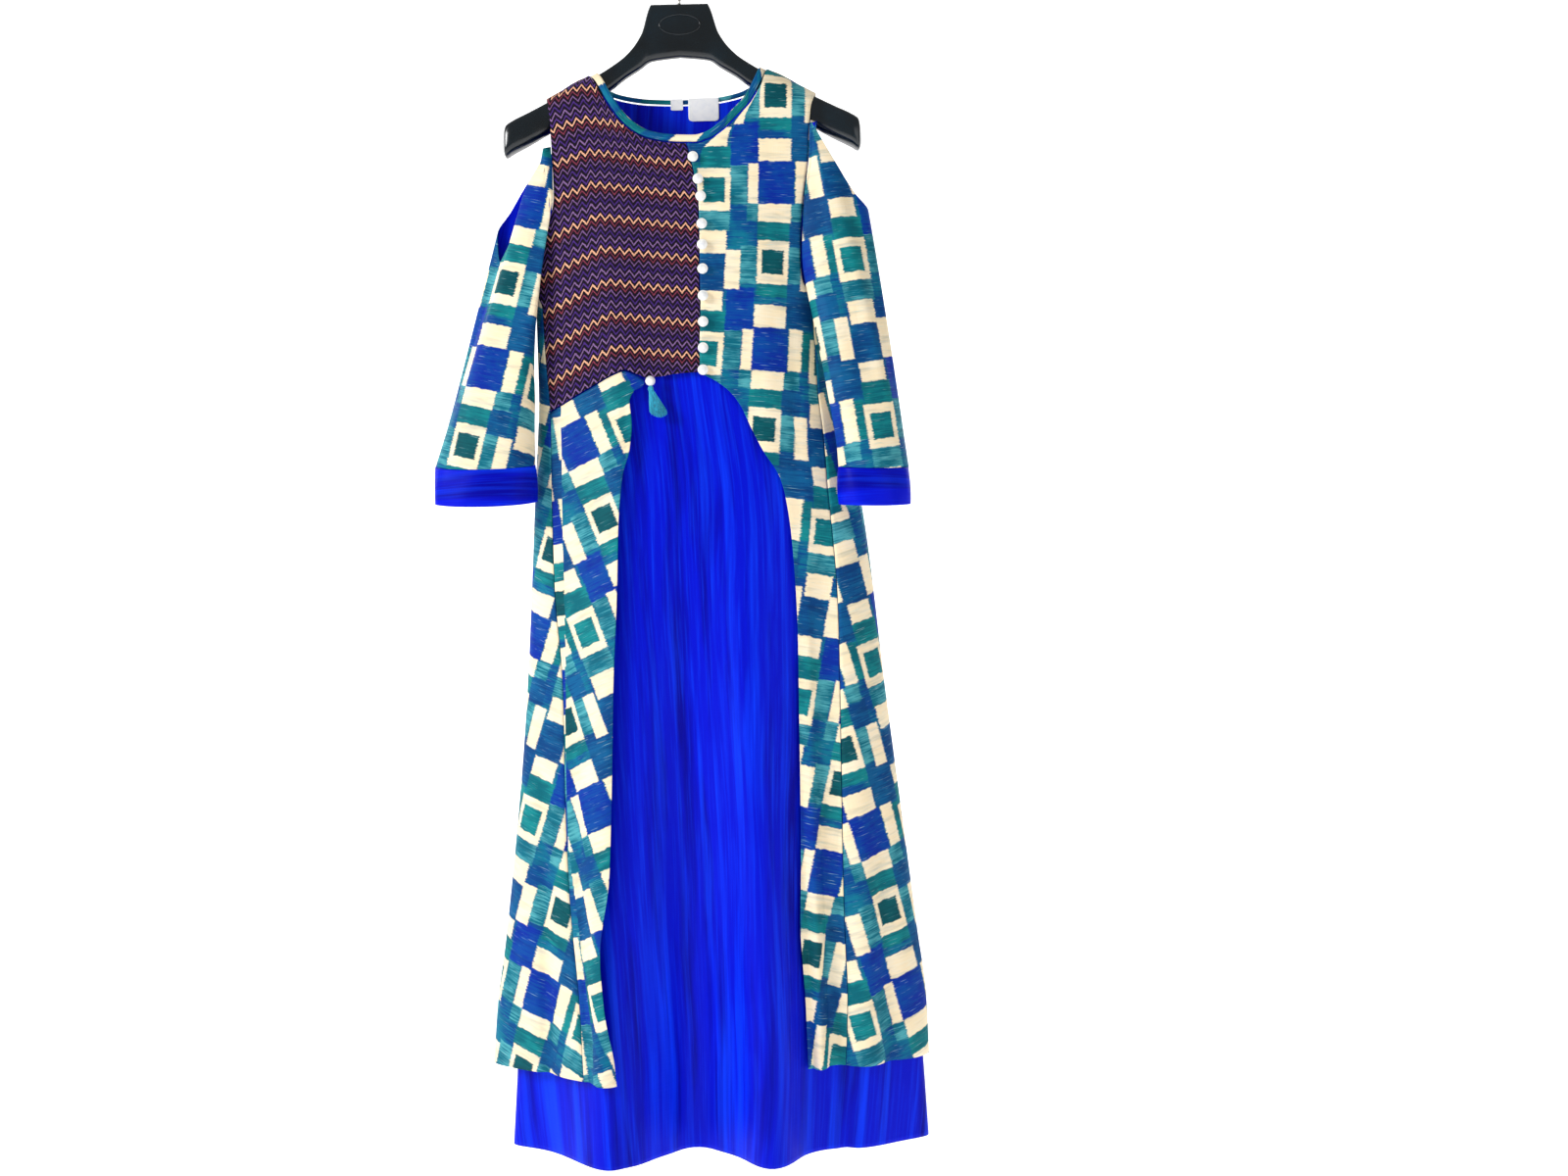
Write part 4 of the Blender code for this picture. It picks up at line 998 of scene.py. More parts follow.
def moved_neck(edge: Sequence[Knot], width: float) -> list[Knot]:
    """Move the neck edge out into the cloth by a width, with its ends on the shoulders."""
    xs, drops = knot_columns(edge)
    along = np.stack((np.gradient(xs), np.gradient(drops)))
    along /= np.hypot(*along)
    out = np.stack((xs - along[1] * width, drops + along[0] * width))
    out[0][0], out[0][-1] = xs[0] - width * 0.95, xs[-1] + width * 0.95
    out[1][0], out[1][-1] = shoulder_drop(out[0][0]), shoulder_drop(out[0][-1])
    return [Knot(float(x), float(drop)) for x, drop in zip(*out)]


def on_shoulders(drape: Drape, knots: Sequence[Knot], tips: Sequence[float]) -> list[Knot]:
    """Add the shoulder seams to the ends of a neck edge, each up to its tip."""
    left = [Knot(t, float(shoulder_drop(t))) for t in tips if t < 0]
    right = [Knot(t, float(shoulder_drop(t))) for t in tips if t > 0]
    rows = []
    for knot in (*left, *knots, *right):
        line = float(shoulder_drop(knot.x))
        sink = drape.sink if abs(knot.drop - line) < 1.5 else 0.0
        rows.append(Knot(knot.x, max(knot.drop, line) + sink))
    return rows


@dataclass
class Stations:
    """Grid stations of a panel, closer together where it rounds the shoulder."""

    columns: int
    rows: int
    shoulder_rows: int = 14
    shoulder_share: float = 0.0

    def across(self) -> Array:
        """Give even stations across."""
        return np.linspace(0, 1, self.columns + 1)

    def down(self) -> Array:
        """Give stations down, with extra ones over the shoulder's round."""
        if self.shoulder_share <= 0:
            return np.linspace(0, 1, self.rows + 1)
        near = self.shoulder_share * np.linspace(0, 1, self.shoulder_rows + 1) ** 1.5
        far = np.linspace(self.shoulder_share, 1, self.rows + 1)[1:]
        return np.concatenate((near, far))


@dataclass
class Dress:
    """The dress's panels, laid on its two layers."""

    finishes: Finishes

    def ride(self, piece: bpy.types.Object, nodes: Sequence[str]) -> bpy.types.Object:
        """Fix a piece to the frame, hide the CAD nodes that it stands for, and log its face count."""
        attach(piece, "root")
        if nodes:
            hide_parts(*nodes)
        LOG.info("%s: %d faces", piece.name, len(piece.data.polygons))
        return piece

    def lay(self, drape: Drape, top: Array, bottom: Array, left: Array, right: Array,
            stations: Stations) -> tuple[Array, Array]:
        """Lay a panel between four edges on a layer.

        Args:
            drape: The layer.
            top: Top edge.
            bottom: Bottom edge.
            left: Left side.
            right: Right side.
            stations: Its grid.

        Returns:
            Points in mm, and the drop of each.
        """
        turn, drop = fill_patch(top, bottom, left, right, stations.across(), stations.down())
        return drape.point(turn, drop), drop

    def build_under(self) -> None:
        """Build the front and back of the long blue inner dress."""
        jobs = (
            ("inner_dress_front", "under_front", NECK_FRONT, BINDING_FRONT_WIDTH, Face.FRONT,
             ARMHOLE_LEFT_FRONT, ARMHOLE_RIGHT_FRONT, Stations(150, 210, 14, 0.04)),
            ("inner_dress_back", "under_back", NECK_BACK, BINDING_BACK_WIDTH, Face.BACK,
             ARMHOLE_LEFT_BACK[:-1], ARMHOLE_RIGHT_BACK[:-1], Stations(110, 150, 12, 0.04)),
        )
        inset, hole_end, side_start, past_side = 5.0, 398.0, 432.0, 400.0
        for name, node, neck, width, face, hole_left, hole_right, stations in jobs:
            tips = (-SHOULDER_TIP + inset, SHOULDER_TIP - inset)
            knots = on_shoulders(INNER, moved_neck(neck, width + NECK_TUCK), tips)
            across, down = stations.across(), stations.down()
            top = edge_across(INNER, knots, across, face)
            sides = []
            for hole, tip in zip((hole_left, hole_right), tips):
                rows = [Knot(tip, float(shoulder_drop(tip)) + INNER.sink, face)]
                lowered = [Knot(k.x - math.copysign(inset, k.x),
                                k.drop + inset / 2 * (k.drop > SHOULDER_END), k.face)
                           for k in hole[1:]]
                rows += [k for k in lowered if k.drop < hole_end]
                rows += [Knot(math.copysign(past_side, tip), d, face)
                         for d in (side_start, INNER_HEM)]
                sides.append(edge_on(INNER, rows, down))
            left, right = sides
            bottom = np.stack((left[0][-1] + (right[0][-1] - left[0][-1]) * across,
                               np.full(len(across), INNER_HEM)))
            top[0][0], top[0][-1] = left[0][0], right[0][0]
            points, drop = self.lay(INNER, top, bottom, left, right, stations)
            run = surface_run(points, np.full(len(points), stations.columns / 2))
            cloth = Grain(Knot(0, 0), (0.0, 0.0)).place(run, drop)
            piece = add_grid(name, points, self.finishes.blue_silk, cloth)
            self.ride(piece, [node])

    def build_chevron_bodice(self) -> None:
        """Build the wearer's right bodice, whose zigzag rows climb to the soft ridge."""
        stations = Stations(90, 120, 14, 0.08)
        across, down = stations.across(), stations.down()
        start = Knot(PLACKET[0].x - PLACKET_GAP, PLACKET[0].drop)
        neck = [k for k in moved_neck(NECK_FRONT, BINDING_FRONT_WIDTH + NECK_TUCK) if k.x < start.x - 2]
        knots = on_shoulders(OUTER, [*neck, start], (-SHOULDER_TIP,))
        top = edge_across(OUTER, knots, across, Face.FRONT)
        hem = [Knot(k.x - PLACKET_GAP * (k.x > 0), k.drop) for k in BODICE_HEM]
        bottom = edge_across(OUTER, hem, across, Face.FRONT)
        seam = [k for k in SEAM_LEFT if k.drop <= BODICE_HEM[0].drop]
        left = edge_on(OUTER, (*ARMHOLE_LEFT_FRONT, *seam), down, shift=SEAM_GAP)
        right = edge_on(OUTER, PLACKET, down, shift=-PLACKET_GAP)
        points, drop = self.lay(OUTER, top, bottom, left, right, stations)
        x = points[..., 0]
        ridge = smooth(drop, (150, 240, 490, 560), (-121, -112, -83, -76))
        left_slope = smooth(drop, (150, 260, 400, 560), (0.16, 0.30, 0.40, 0.46))
        right_slope = smooth(drop, (150, 260, 400, 560), (0.22, 0.16, 0.13, 0.12))
        lift = np.minimum(x - ridge, 0.0) * left_slope - np.maximum(x - ridge, 0.0) * right_slope
        run = surface_run(points, np.full(len(points), float(stations.columns)))
        cloth = np.stack((run + 15.0, -(drop + lift)), axis=-1) * MM
        piece = add_grid("chevron_bodice", points, self.finishes.chevron, cloth)
        self.ride(piece, ["bodice_chevron_right"])

    def build_print_front(self) -> None:
        """Build the wearer's left front, in one piece from the shoulder to the hem."""
        stations = Stations(64, 290, 14, 0.035)
        across, down = stations.across(), stations.down()
        start = Knot(PLACKET[0].x + PLACKET_GAP, PLACKET[0].drop)
        neck = [k for k in moved_neck(NECK_FRONT, BINDING_FRONT_WIDTH + NECK_TUCK) if k.x > start.x + 2]
        knots = on_shoulders(OUTER, [start, *neck], (SHOULDER_TIP,))
        top = edge_across(OUTER, knots, across, Face.FRONT)
        hem = (Knot(OPENING_RIGHT[-1].x + PLACKET_GAP, OUTER_HEM),
               Knot(SEAM_RIGHT[-1].x - SEAM_GAP, OUTER_HEM))
        bottom = edge_across(OUTER, hem, across, Face.FRONT)
        left = edge_on(OUTER, (*PLACKET, *OPENING_RIGHT), down, shift=PLACKET_GAP)
        right = edge_on(OUTER, (*ARMHOLE_RIGHT_FRONT, *SEAM_RIGHT), down, shift=-SEAM_GAP)
        points, drop = self.lay(OUTER, top, bottom, left, right, stations)
        line = smooth(drop, (134, 300, 420, 500, 560, 700, 1330),
                      (112, 107, 104, 103, 104, 122, 122)).mean(axis=1)
        cloth = Grain(Knot(105, 377.4), in_print(81.5, 22.5), 13.0, 150, 1000).place(
            self.from_line(points, line), drop)
        piece = add_grid("print_front", points, self.finishes.print_silk, cloth)
        self.ride(piece, ["print_front_left"])

    def from_line(self, points: Array, line: Array) -> Array:
        """Give the surface length of each point from a line that runs down the panel.

        Args:
            points: Rows by columns by three, in mm.
            line: x of the line on each row.

        Returns:
            Signed lengths in mm: the row's own run less its value where x meets the line. A line
            past the panel's side is reached straight on from that side.
        """
        run = surface_run(points, np.zeros(len(points)))
        zero = np.empty(len(points))
        for row, (x, lengths, aim) in enumerate(zip(points[..., 0], run, line)):
            order = np.argsort(x)
            x, lengths, way = x[order], lengths[order], 1.0 if x[-1] > x[0] else -1.0
            past = aim - np.clip(aim, x[0], x[-1])
            zero[row] = np.interp(aim, x, lengths) + way * past
        return run - zero[:, None]

    def build_print_skirt(self) -> None:
        """Build the wearer's right front skirt, cut on the bias under the chevron bodice."""
        stations = Stations(60, 210)
        across, down = stations.across(), stations.down()
        joined = [k for k in BODICE_HEM if k.x < OPENING_LEFT[0].x]
        top = edge_across(OUTER, [*joined, OPENING_LEFT[0]], across, Face.FRONT, lower=BODICE_TUCK)
        hem = (Knot(SEAM_LEFT[-1].x + SEAM_GAP, OUTER_HEM), Knot(OPENING_LEFT[-1].x, OUTER_HEM))
        bottom = edge_across(OUTER, hem, across, Face.FRONT)
        start = BODICE_HEM[0]
        seam = [Knot(start.x, start.drop + BODICE_TUCK)]
        seam += [k for k in SEAM_LEFT if k.drop > start.drop]
        opening = (Knot(OPENING_LEFT[0].x, OPENING_LEFT[0].drop + BODICE_TUCK), *OPENING_LEFT[1:])
        left = edge_on(OUTER, seam, down, shift=SEAM_GAP)
        right = edge_on(OUTER, opening, down)
        points, drop = self.lay(OUTER, top, bottom, left, right, stations)
        inner = Grain(Knot(-101, 678.5), in_print(81.5, 22.5), -22.0, 0, 1).place(
            self.from_line(points, np.full(len(drop), -101.0)), drop)
        outer = Grain(Knot(-156, 1299), in_print(17, 120.5), -9.0, 0, 1).place(
            self.from_line(points, np.full(len(drop), -156.0)), drop)
        fold_line = smooth(drop, (800, 1030, 1130, 1190, 1275), (-153, -155, -145, -138, -126))
        cloth = choose_corners(points[..., 0] < fold_line, outer, inner)
        piece = add_grid("print_skirt_front", points, self.finishes.print_silk, cloth)
        self.ride(piece, ["print_skirt_right"])

    def build_print_back(self) -> None:
        """Build the printed back, which comes round to the front at both sides."""
        stations = Stations(170, 230, 12, 0.03)
        across, down = stations.across(), stations.down()
        neck = moved_neck(NECK_BACK, BINDING_BACK_WIDTH + NECK_TUCK)
        knots = on_shoulders(OUTER, neck, (-SHOULDER_TIP, SHOULDER_TIP))[::-1]
        top = edge_across(OUTER, knots, across, Face.BACK)
        right = edge_on(OUTER, (*ARMHOLE_RIGHT_BACK, *SEAM_RIGHT), down, shift=SEAM_GAP)
        left = edge_on(OUTER, (*ARMHOLE_LEFT_BACK, *SEAM_LEFT), down, shift=-SEAM_GAP, wrap=True)
        bottom = np.stack((right[0][-1] + (left[0][-1] - right[0][-1]) * across,
                           np.full(len(across), OUTER_HEM)))
        top[0][0], top[0][-1] = right[0][0], left[0][0]
        points, drop = self.lay(OUTER, top, bottom, right, left, stations)
        straight = Grain(Knot(0, 400), in_print(17, 60)).place(
            self.from_line(points, np.zeros(len(drop))), drop)
        side_run = surface_run(points, np.zeros(len(points)))
        right_front = Grain(Knot(231, 1152.6), in_print(81.5, 22.5), -16.0, 0, 1).place(
            side_run + points[:, :1, 0] - 231, drop)
        side_run = surface_run(points, np.full(len(points), float(stations.columns)))
        left_front = Grain(Knot(-205, 1035), in_print(17, 120.5), 20.0, 0, 1).place(
            side_run + points[:, -1:, 0] + 205, drop)
        turned, _ = fill_patch(top, bottom, right, left, across, down)
        cloth = choose_corners(turned < 0.5, right_front, straight)
        cloth = choose_corners(turned >= 1.0, left_front, cloth)
        piece = add_grid("print_back_panel", points, self.finishes.print_silk, cloth)
        self.ride(piece, ["print_back"])

    def build_bindings(self) -> None:
        """Build the printed neck binding as a rolled band on both neck edges."""
        for name, node, edge, width, face, steps in (
                ("neck_binding_front_roll", "neck_binding_front", NECK_FRONT,
                 BINDING_FRONT_WIDTH, Face.FRONT, 120),
                ("neck_binding_back_roll", "neck_binding_back", NECK_BACK,
                 BINDING_BACK_WIDTH, Face.BACK, 90)):
            stations = np.linspace(0, 1, steps + 1)
            rails = [along_knots(knots, stations) for knots in (edge, moved_neck(edge, width))]
            sign = -1.0 if face is Face.FRONT else 1.0
            share = np.linspace(0, 1, 9)[:, None]
            x = rails[0][0] * (1 - share) + rails[1][0] * share
            drop = rails[0][1] * (1 - share) + rails[1][1] * share
            middle = np.maximum(
                (OUTER.depth(x, drop, face) + INNER.depth(x, drop, face)) / 2, 1.9)
            round_off = 1.0 * np.sqrt(np.clip(1 - (2 * share - 1) ** 2, 0, 1))
            sunk = LAYER_GAP / 2 * (middle < 9)
            outer = np.stack((x, sign * (middle + 0.5 + round_off), -drop - sunk), axis=-1)
            inner = np.stack((x, sign * (middle - 0.5 - round_off), -drop - sunk), axis=-1)[::-1]
            points = np.concatenate((outer, inner, outer[:1]), axis=0)
            run = surface_run(points, np.zeros(len(points)), axes=3)
            girth = np.arange(len(points))[:, None] * 1.2 + 0 * run
            cloth = np.stack((run, girth), axis=-1) * MM
            piece = add_grid(name, points.transpose(1, 0, 2), self.finishes.print_silk,
                             cloth.transpose(1, 0, 2), closed=True, wall=0.0)
            self.ride(piece, [node])


@dataclass(frozen=True)
class Rim:
    """A point of a sleeve's free edge, in mm."""

    x: float
    y: float
    drop: float


@dataclass
class Sleeve:
    """A cold-shoulder sleeve: a tube from the armhole and open shoulder to an oval cuff."""

    side: str
    nodes: tuple[str, str]
    top_front: float
    top_back: float
    rim: Sequence[Rim]
    cuff_middle: Rim
    cuff_half_width: float
    cuff_half_depth: float
    cuff_turn: float
    cuff_droop: float
    swing: float
    grain: Grain
    armhole_steps: int = 34
    rows: int = 110
    clearance: float = 6.5
    lap: float = 2.0
    cuff_length: float = 44.0

    def armhole(self, knots: Sequence[Knot], first: float, last: float, wrap: bool) -> Array:
        """Give points along an armhole, moved off the cloth for the sleeve's edge."""
        at = np.linspace(first, last, self.armhole_steps)
        turn = smooth(at, knot_columns(knots)[1], knot_turns(OUTER, knots, wrap=wrap))
        here = OUTER.point(turn, at)
        along = OUTER.point(turn + 0.002, at) - OUTER.point(turn - 0.002, at)
        out = np.stack((along[:, 1], -along[:, 0]), axis=-1)
        out /= np.linalg.norm(out, axis=1)[:, None]
        share = np.abs(at - min(first, last)) / abs(last - first)
        here[:, :2] += out * (self.lap + (self.clearance - self.lap) * share)[:, None]
        return here

    def clear_of_body(self, points: Array) -> Array:
        """Move points straight out from the body's middle until they clear its section."""
        x, y, drop = points[..., 0], points[..., 1], -points[..., 2]
        middle, half = OUTER.middle_and_half(drop)
        deep = np.where(y < 0, OUTER.column("front", drop), OUTER.column("back", drop))
        reach = (np.abs((x - middle) / (half + self.clearance)) ** SECTION_POWER
                 + np.abs(y / (deep + self.clearance)) ** SECTION_POWER)
        grow = np.maximum(1.0, reach ** (-1 / SECTION_POWER))
        return np.stack((middle + (x - middle) * grow, y * grow, -drop), axis=-1)

    def head(self, front: Sequence[Knot], back: Sequence[Knot]) -> Array:
        """Give the top loop: down the front armhole, up the back one, then the free edge."""
        low = front[-1].drop
        down = self.armhole(front, self.top_front, low - 2, False)
        up = self.armhole(back, low - 2, self.top_back, front[0].x < 0)
        rim = np.array([(r.x, r.y, -r.drop) for r in self.rim], dtype=float)
        knots = np.concatenate((up[-1:], rim, down[:1]))
        run = np.concatenate(([0.0], np.cumsum(np.linalg.norm(np.diff(knots, axis=0), axis=1))))
        at = np.linspace(0, run[-1], 8 * (len(rim) + 1) + 1)
        free = np.stack([smooth(at, run, knots[:, i]) for i in range(3)], axis=-1)
        return np.concatenate((down[:-1], (down[-1:] + up[:1]) / 2, up[1:], free[1:-1], down[:1]))

    def foot(self, count: int) -> Array:
        """Give the lower loop, an oval turned about the upright."""
        side = math.copysign(1.0, self.cuff_middle.x)
        rims = 8 * (len(self.rim) + 1) - 1
        far = 0.78 + 0.44 * np.arange(1, rims + 2) / (rims + 1)
        angle = 2 * math.pi * np.concatenate((np.linspace(0.22, 0.78, count - rims - 1), far))
        across = self.cuff_half_width * np.cos(angle) * side
        deep = -self.cuff_half_depth * np.sin(angle)
        turn = self.cuff_turn * side
        x = across * math.cos(turn) - deep * math.sin(turn)
        y = across * math.sin(turn) + deep * math.cos(turn)
        droop = self.cuff_droop * np.clip(np.sin(angle), 0, 1)
        return np.stack((x + self.cuff_middle.x, y + self.cuff_middle.y,
                         -droop - self.cuff_middle.drop), axis=-1)

    def build(self, dress: Dress, front: Sequence[Knot], back: Sequence[Knot]) -> None:
        """Build the printed sleeve and its blue cuff.

        Args:
            dress: The dress that it is sewn to.
            front: The front armhole's knots.
            back: The back armhole's knots.
        """
        head = self.head(front, back)
        foot = self.foot(len(head))
        foot[-1] = foot[0]
        down = np.linspace(0, 1, self.rows + 1)[:, None, None] ** 1.1
        points = head[None] * (1 - down) + foot[None] * down
        points[:, :, 1] += self.swing * np.sin(math.pi * down[:, :, 0])
        round_it = np.linspace(0, 2 * math.pi, points.shape[1])[None, :]
        hang = np.sin(math.pi * down[:, :, 0])
        crease = 1.6 * np.sin(5 * round_it + 2.2 * down[:, :, 0]) * hang
        points[:, :, 1] += crease
        points[1:] = self.clear_of_body(points[1:])
        points[:, -1] = points[:, 0]
        half_way = (points.shape[1] - 1) // 2
        points = seam_behind(points)
        run = surface_run(points, np.full(len(points), float(half_way)))
        facing = math.copysign(1.0, float(self.cuff_middle.x))
        across = points[:, half_way, 0][:, None] - run * facing - self.grain.pivot.x
        cloth = self.grain.place(across, -points[..., 2])
        piece = add_grid(f"printed_sleeve_{self.side}", points, dress.finishes.print_silk, cloth,
                         closed=True, lining=dress.finishes.blue_silk)
        dress.ride(piece, [self.nodes[0]])
        self.build_cuff(dress, foot)

    def build_cuff(self, dress: Dress, foot: Array) -> None:
        """Build the blue cuff band: a tube hung from the sleeve's foot, puffed out round its middle
        with small ripples, its wall 1.4 mm thick for the cloth folded double.
        """
        middle = np.array([self.cuff_middle.x, self.cuff_middle.y, 0.0])
        share = np.linspace(0, 1, 23)[:, None, None]
        start = foot - np.array([0, 0, 0.35])
        end = ((foot - middle) * np.array([1.02, 1.02, 1]) + middle
               - np.array([0, 0, self.cuff_length]))
        points = start[None] * (1 - share) + end[None] * share
        round_it = np.linspace(0, 2 * math.pi, points.shape[1])[None, :]
        puff = (1.1 * np.sin(math.pi * share[:, :, 0])
                + 0.5 * np.sin(7 * round_it + 3 * share[:, :, 0]))
        out = points - middle
        out[..., 2] = 0
        out /= np.linalg.norm(out, axis=2)[..., None]
        points = points + out * puff[..., None]
        points[:, -1] = points[:, 0]
        points = seam_behind(points)
        run = surface_run(points, np.zeros(len(points)))
        cloth = np.stack((-points[..., 2], run), axis=-1) * MM
        piece = add_grid(f"cuff_band_{self.side}", points, dress.finishes.blue_silk, cloth,
                         closed=True, wall=1.4)
        dress.ride(piece, [self.nodes[1]])


RIGHT_SLEEVE = Sleeve(
    side="right", nodes=("sleeve_right", "cuff_right"), top_front=231, top_back=226,
    rim=(Rim(-180, 20, 247), Rim(-211, 15, 297), Rim(-227, 4, 328), Rim(-223, -8, 364),
         Rim(-209, -20, 343), Rim(-188, -25, 280)),
    cuff_middle=Rim(-243, -32, 611), cuff_half_width=59, cuff_half_depth=28, cuff_turn=0.0,
    cuff_droop=7.0, swing=0.0, grain=Grain(Knot(-262, 589.7), in_print(81.5, 22.5), 14.0, 0, 1))
LEFT_SLEEVE = Sleeve(
    side="left", nodes=("sleeve_left", "cuff_left"), top_front=205, top_back=215,
    rim=(Rim(178, 12, 250), Rim(200, 6, 292), Rim(221, -6, 322), Rim(221, -22, 316),
         Rim(205, -30, 297), Rim(184, -30, 262)),
    cuff_middle=Rim(217, -52, 624), cuff_half_width=42, cuff_half_depth=27,
    cuff_turn=math.radians(12), cuff_droop=4.0, swing=-10.0,
    grain=Grain(Knot(198, 379), in_print(17, 120.5), -8.0, 0, 1))


@dataclass
class Trims:
    """The buttons, the bead, its tassel and the labels."""

    finishes: Finishes
    button_count: int = 10
    button_width: float = 12.6
    button_depth: float = 6.4
    bead_width: float = 12.0
    strands: int = 320

    def lathe(self, profile: Array, steps: int, first: int = 0) -> tuple[Array, list]:
        """Turn a profile of radius and height about its height axis.

        Args:
            profile: Rows of radius and height, from one pole to the other, in mm.
            steps: Steps round.
            first: The number that its first vertex has in the mesh.

        Returns:
            Vertices about the axis, and the faces: rings of quads with fans at the poles.
        """
        angle = np.linspace(0, 2 * math.pi, steps, endpoint=False)
        inner = profile[1:-1]
        ring = np.stack((inner[:, :1] * np.cos(angle), inner[:, :1] * np.sin(angle),
                         inner[:, 1:] * np.ones(steps)), axis=-1).reshape(-1, 3)
        poles = np.array([(0, 0, profile[0, 1]), (0, 0, profile[-1, 1])])
        index = first + np.arange(len(ring)).reshape(-1, steps)
        after = np.roll(index, -1, axis=1)
        quads = np.stack((index[:-1], after[:-1], after[1:], index[1:]), axis=-1)
        top, low = first + len(ring), first + len(ring) + 1
        fans = [(top, int(b), int(a)) for a, b in zip(index[0], after[0])]
        fans += [(low, int(a), int(b)) for a, b in zip(index[-1], after[-1])]
        return np.concatenate((ring, poles)), quads.reshape(-1, 4).tolist() + fans

    def add_turned(self, name: str, node: str, profile: Array, to_front: bool) -> bpy.types.Object:
        """Add a turned pearl piece in its CAD node's place, upright or turned to face the front."""
        place = np.mean(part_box(node), axis=0) / MM
        points, faces = self.lathe(profile, 40)
        if to_front:
            points = np.stack((points[:, 0], -points[:, 2], points[:, 1]), axis=-1)
        mesh = bpy.data.meshes.new(name)
        mesh.from_pydata(((points + place) * MM).tolist(), [], faces)
        mend(mesh)
        return new_piece(name, mesh, self.finishes.pearl)

    def build_buttons(self, dress: Dress) -> None:
        """Build the domed pearl buttons, each a low dome with a turned rim and a shank."""
        half, deep = self.button_width / 2, self.button_depth
        profile = np.array([
            (0, deep / 2), (1.6, deep / 2 - 0.05), (3.2, deep / 2 - 0.45), (4.3, deep / 2 - 1.0),
            (4.9, deep / 2 - 1.5), (5.2, deep / 2 - 1.62), (5.7, deep / 2 - 1.5),
            (half - 0.15, deep / 2 - 2.0), (half, deep / 2 - 2.6), (half - 0.2, deep / 2 - 3.2),
            (5.0, -0.4), (3.0, -1.2), (2.0, -1.7), (1.8, -deep / 2 + 0.2), (1.2, -deep / 2),
            (0, -deep / 2)])
        for number in range(1, self.button_count + 1):
            node = f"button_{number:02d}"
            piece = self.add_turned(f"pearl_{node}", node, profile, to_front=True)
            dress.ride(piece, [node])

    def build_bead(self, dress: Dress) -> None:
        """Build the bead with its stringing hole dimples."""
        radius = self.bead_width / 2
        angle = np.linspace(0, math.pi, 26)
        profile = np.stack((radius * np.sin(angle), radius * np.cos(angle)), axis=-1)
        profile[:2, 1] -= 0.8, 0.3
        profile[-2:, 1] += 0.3, 0.8
        piece = self.add_turned("tassel_bead_pearl", "tassel_bead", profile, to_front=False)
        dress.ride(piece, ["tassel_bead"])

    def build_tassel(self, dress: Dress) -> None:
        """Build the tassel: a bound head and a bunch of strands that fan out and lean."""
        low, high = (np.array(corner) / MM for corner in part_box("tassel"))
        bead_low, bead_high = (np.array(corner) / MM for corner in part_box("tassel_bead"))
        steps, sides = 10, 4
        order = np.arange(self.strands)
        radius = np.sqrt((order + 0.5) / self.strands)
        angle = order * math.pi * (3 - math.sqrt(5))
        top = np.array([bead_low[0] + self.bead_width / 2, (bead_low[1] + bead_high[1]) / 2,
                        high[2] - 3.0])
        uneven = (1 - 0.14 * radius ** 2) * (1 - 0.16 * ((order * 7) % 10) / 10)
        t = np.linspace(0, 1, steps + 1)[None, :]
        spread = 2.4 + 8.6 * t ** 1.15
        wave = 0.5 * np.sin(4 * t + angle[:, None]) * t
        down = ((top[2] - low[2] + 4.0) * uneven)[:, None] * t
        x = (top[0] + (radius * np.cos(angle))[:, None] * spread
             + down * math.tan(math.radians(17)) + wave)
        y = top[1] + 0.5 * (radius * np.sin(angle))[:, None] * spread - down * 0.10
        centre = np.stack((x, np.minimum(y, top[1] + 3.2), top[2] - down), axis=-1)
        round_it = 2 * math.pi * np.arange(sides) / sides
        thick = 0.42 * (1 - 0.35 * t[..., None])
        ring = np.stack((np.cos(round_it), np.sin(round_it), np.zeros(sides)), axis=-1)
        points = (centre[:, :, None, :] + ring[None, None] * thick[..., None])
        index = np.arange(points.size // 3).reshape(points.shape[:3])
        after = np.roll(index, -1, axis=2)
        quads = np.stack((index[:, :-1], after[:, :-1], after[:, 1:], index[:, 1:]), axis=-1)
        ends = np.concatenate((index[:, 0, ::-1], index[:, -1]))
        cap = np.linspace(0, math.pi, 13)
        profile = np.stack((3.5 * np.sin(cap), 3.6 * np.cos(cap)), axis=-1)
        head, head_faces = self.lathe(profile, 20, first=index.size)
        vertices = np.concatenate((points.reshape(-1, 3), head + top + np.array([0, 0, 0.2])))
        mesh = bpy.data.meshes.new("thread_tassel")
        mesh.from_pydata((vertices * MM).tolist(), [],
                         quads.reshape(-1, 4).tolist() + ends.tolist() + head_faces)
        piece = new_piece("thread_tassel", mesh, self.finishes.thread)
        dress.ride(piece, ["tassel"])

    def build_labels(self, dress: Dress) -> None:
        """Build the two plain labels, with rounded lower corners, inside the back neck."""
        for name, node, left, right, top, bottom, corner in (
                ("plain_label_small", "label_small", -13.4, 1.8, 161, 175, 2.0),
                ("plain_label_large", "label_large", 8.2, 45.9, 160.5, 189, 5.0)):
            across, down = np.meshgrid(np.linspace(0, 1, 31), np.linspace(0, 1, 25))
            drop = top + (bottom - top) * down
            low = np.clip((drop - (bottom - corner)) / corner, 0, 1)
            pinch = corner * (1 - np.sqrt(1 - low ** 2))
            x = left + pinch + (right - left - 2 * pinch) * across
            lift = 0.5 + 0.35 * np.sin(2.6 * across + 1.0) * down
            y = INNER.depth(x, drop, Face.BACK) - 0.6 - 0.35 - lift
            points = np.stack((x, y, -drop), axis=-1)
            cloth = np.stack((x, -drop), axis=-1) * MM
            piece = add_grid(name, points, self.finishes.tape, cloth, wall=0.5)
            dress.ride(piece, [node])


@dataclass(frozen=True)
class Arm:
    """One upright section of the hanger: its place, its top and bottom, and its half depth."""

    x: float
    top: float
    bottom: float
    half_depth: float


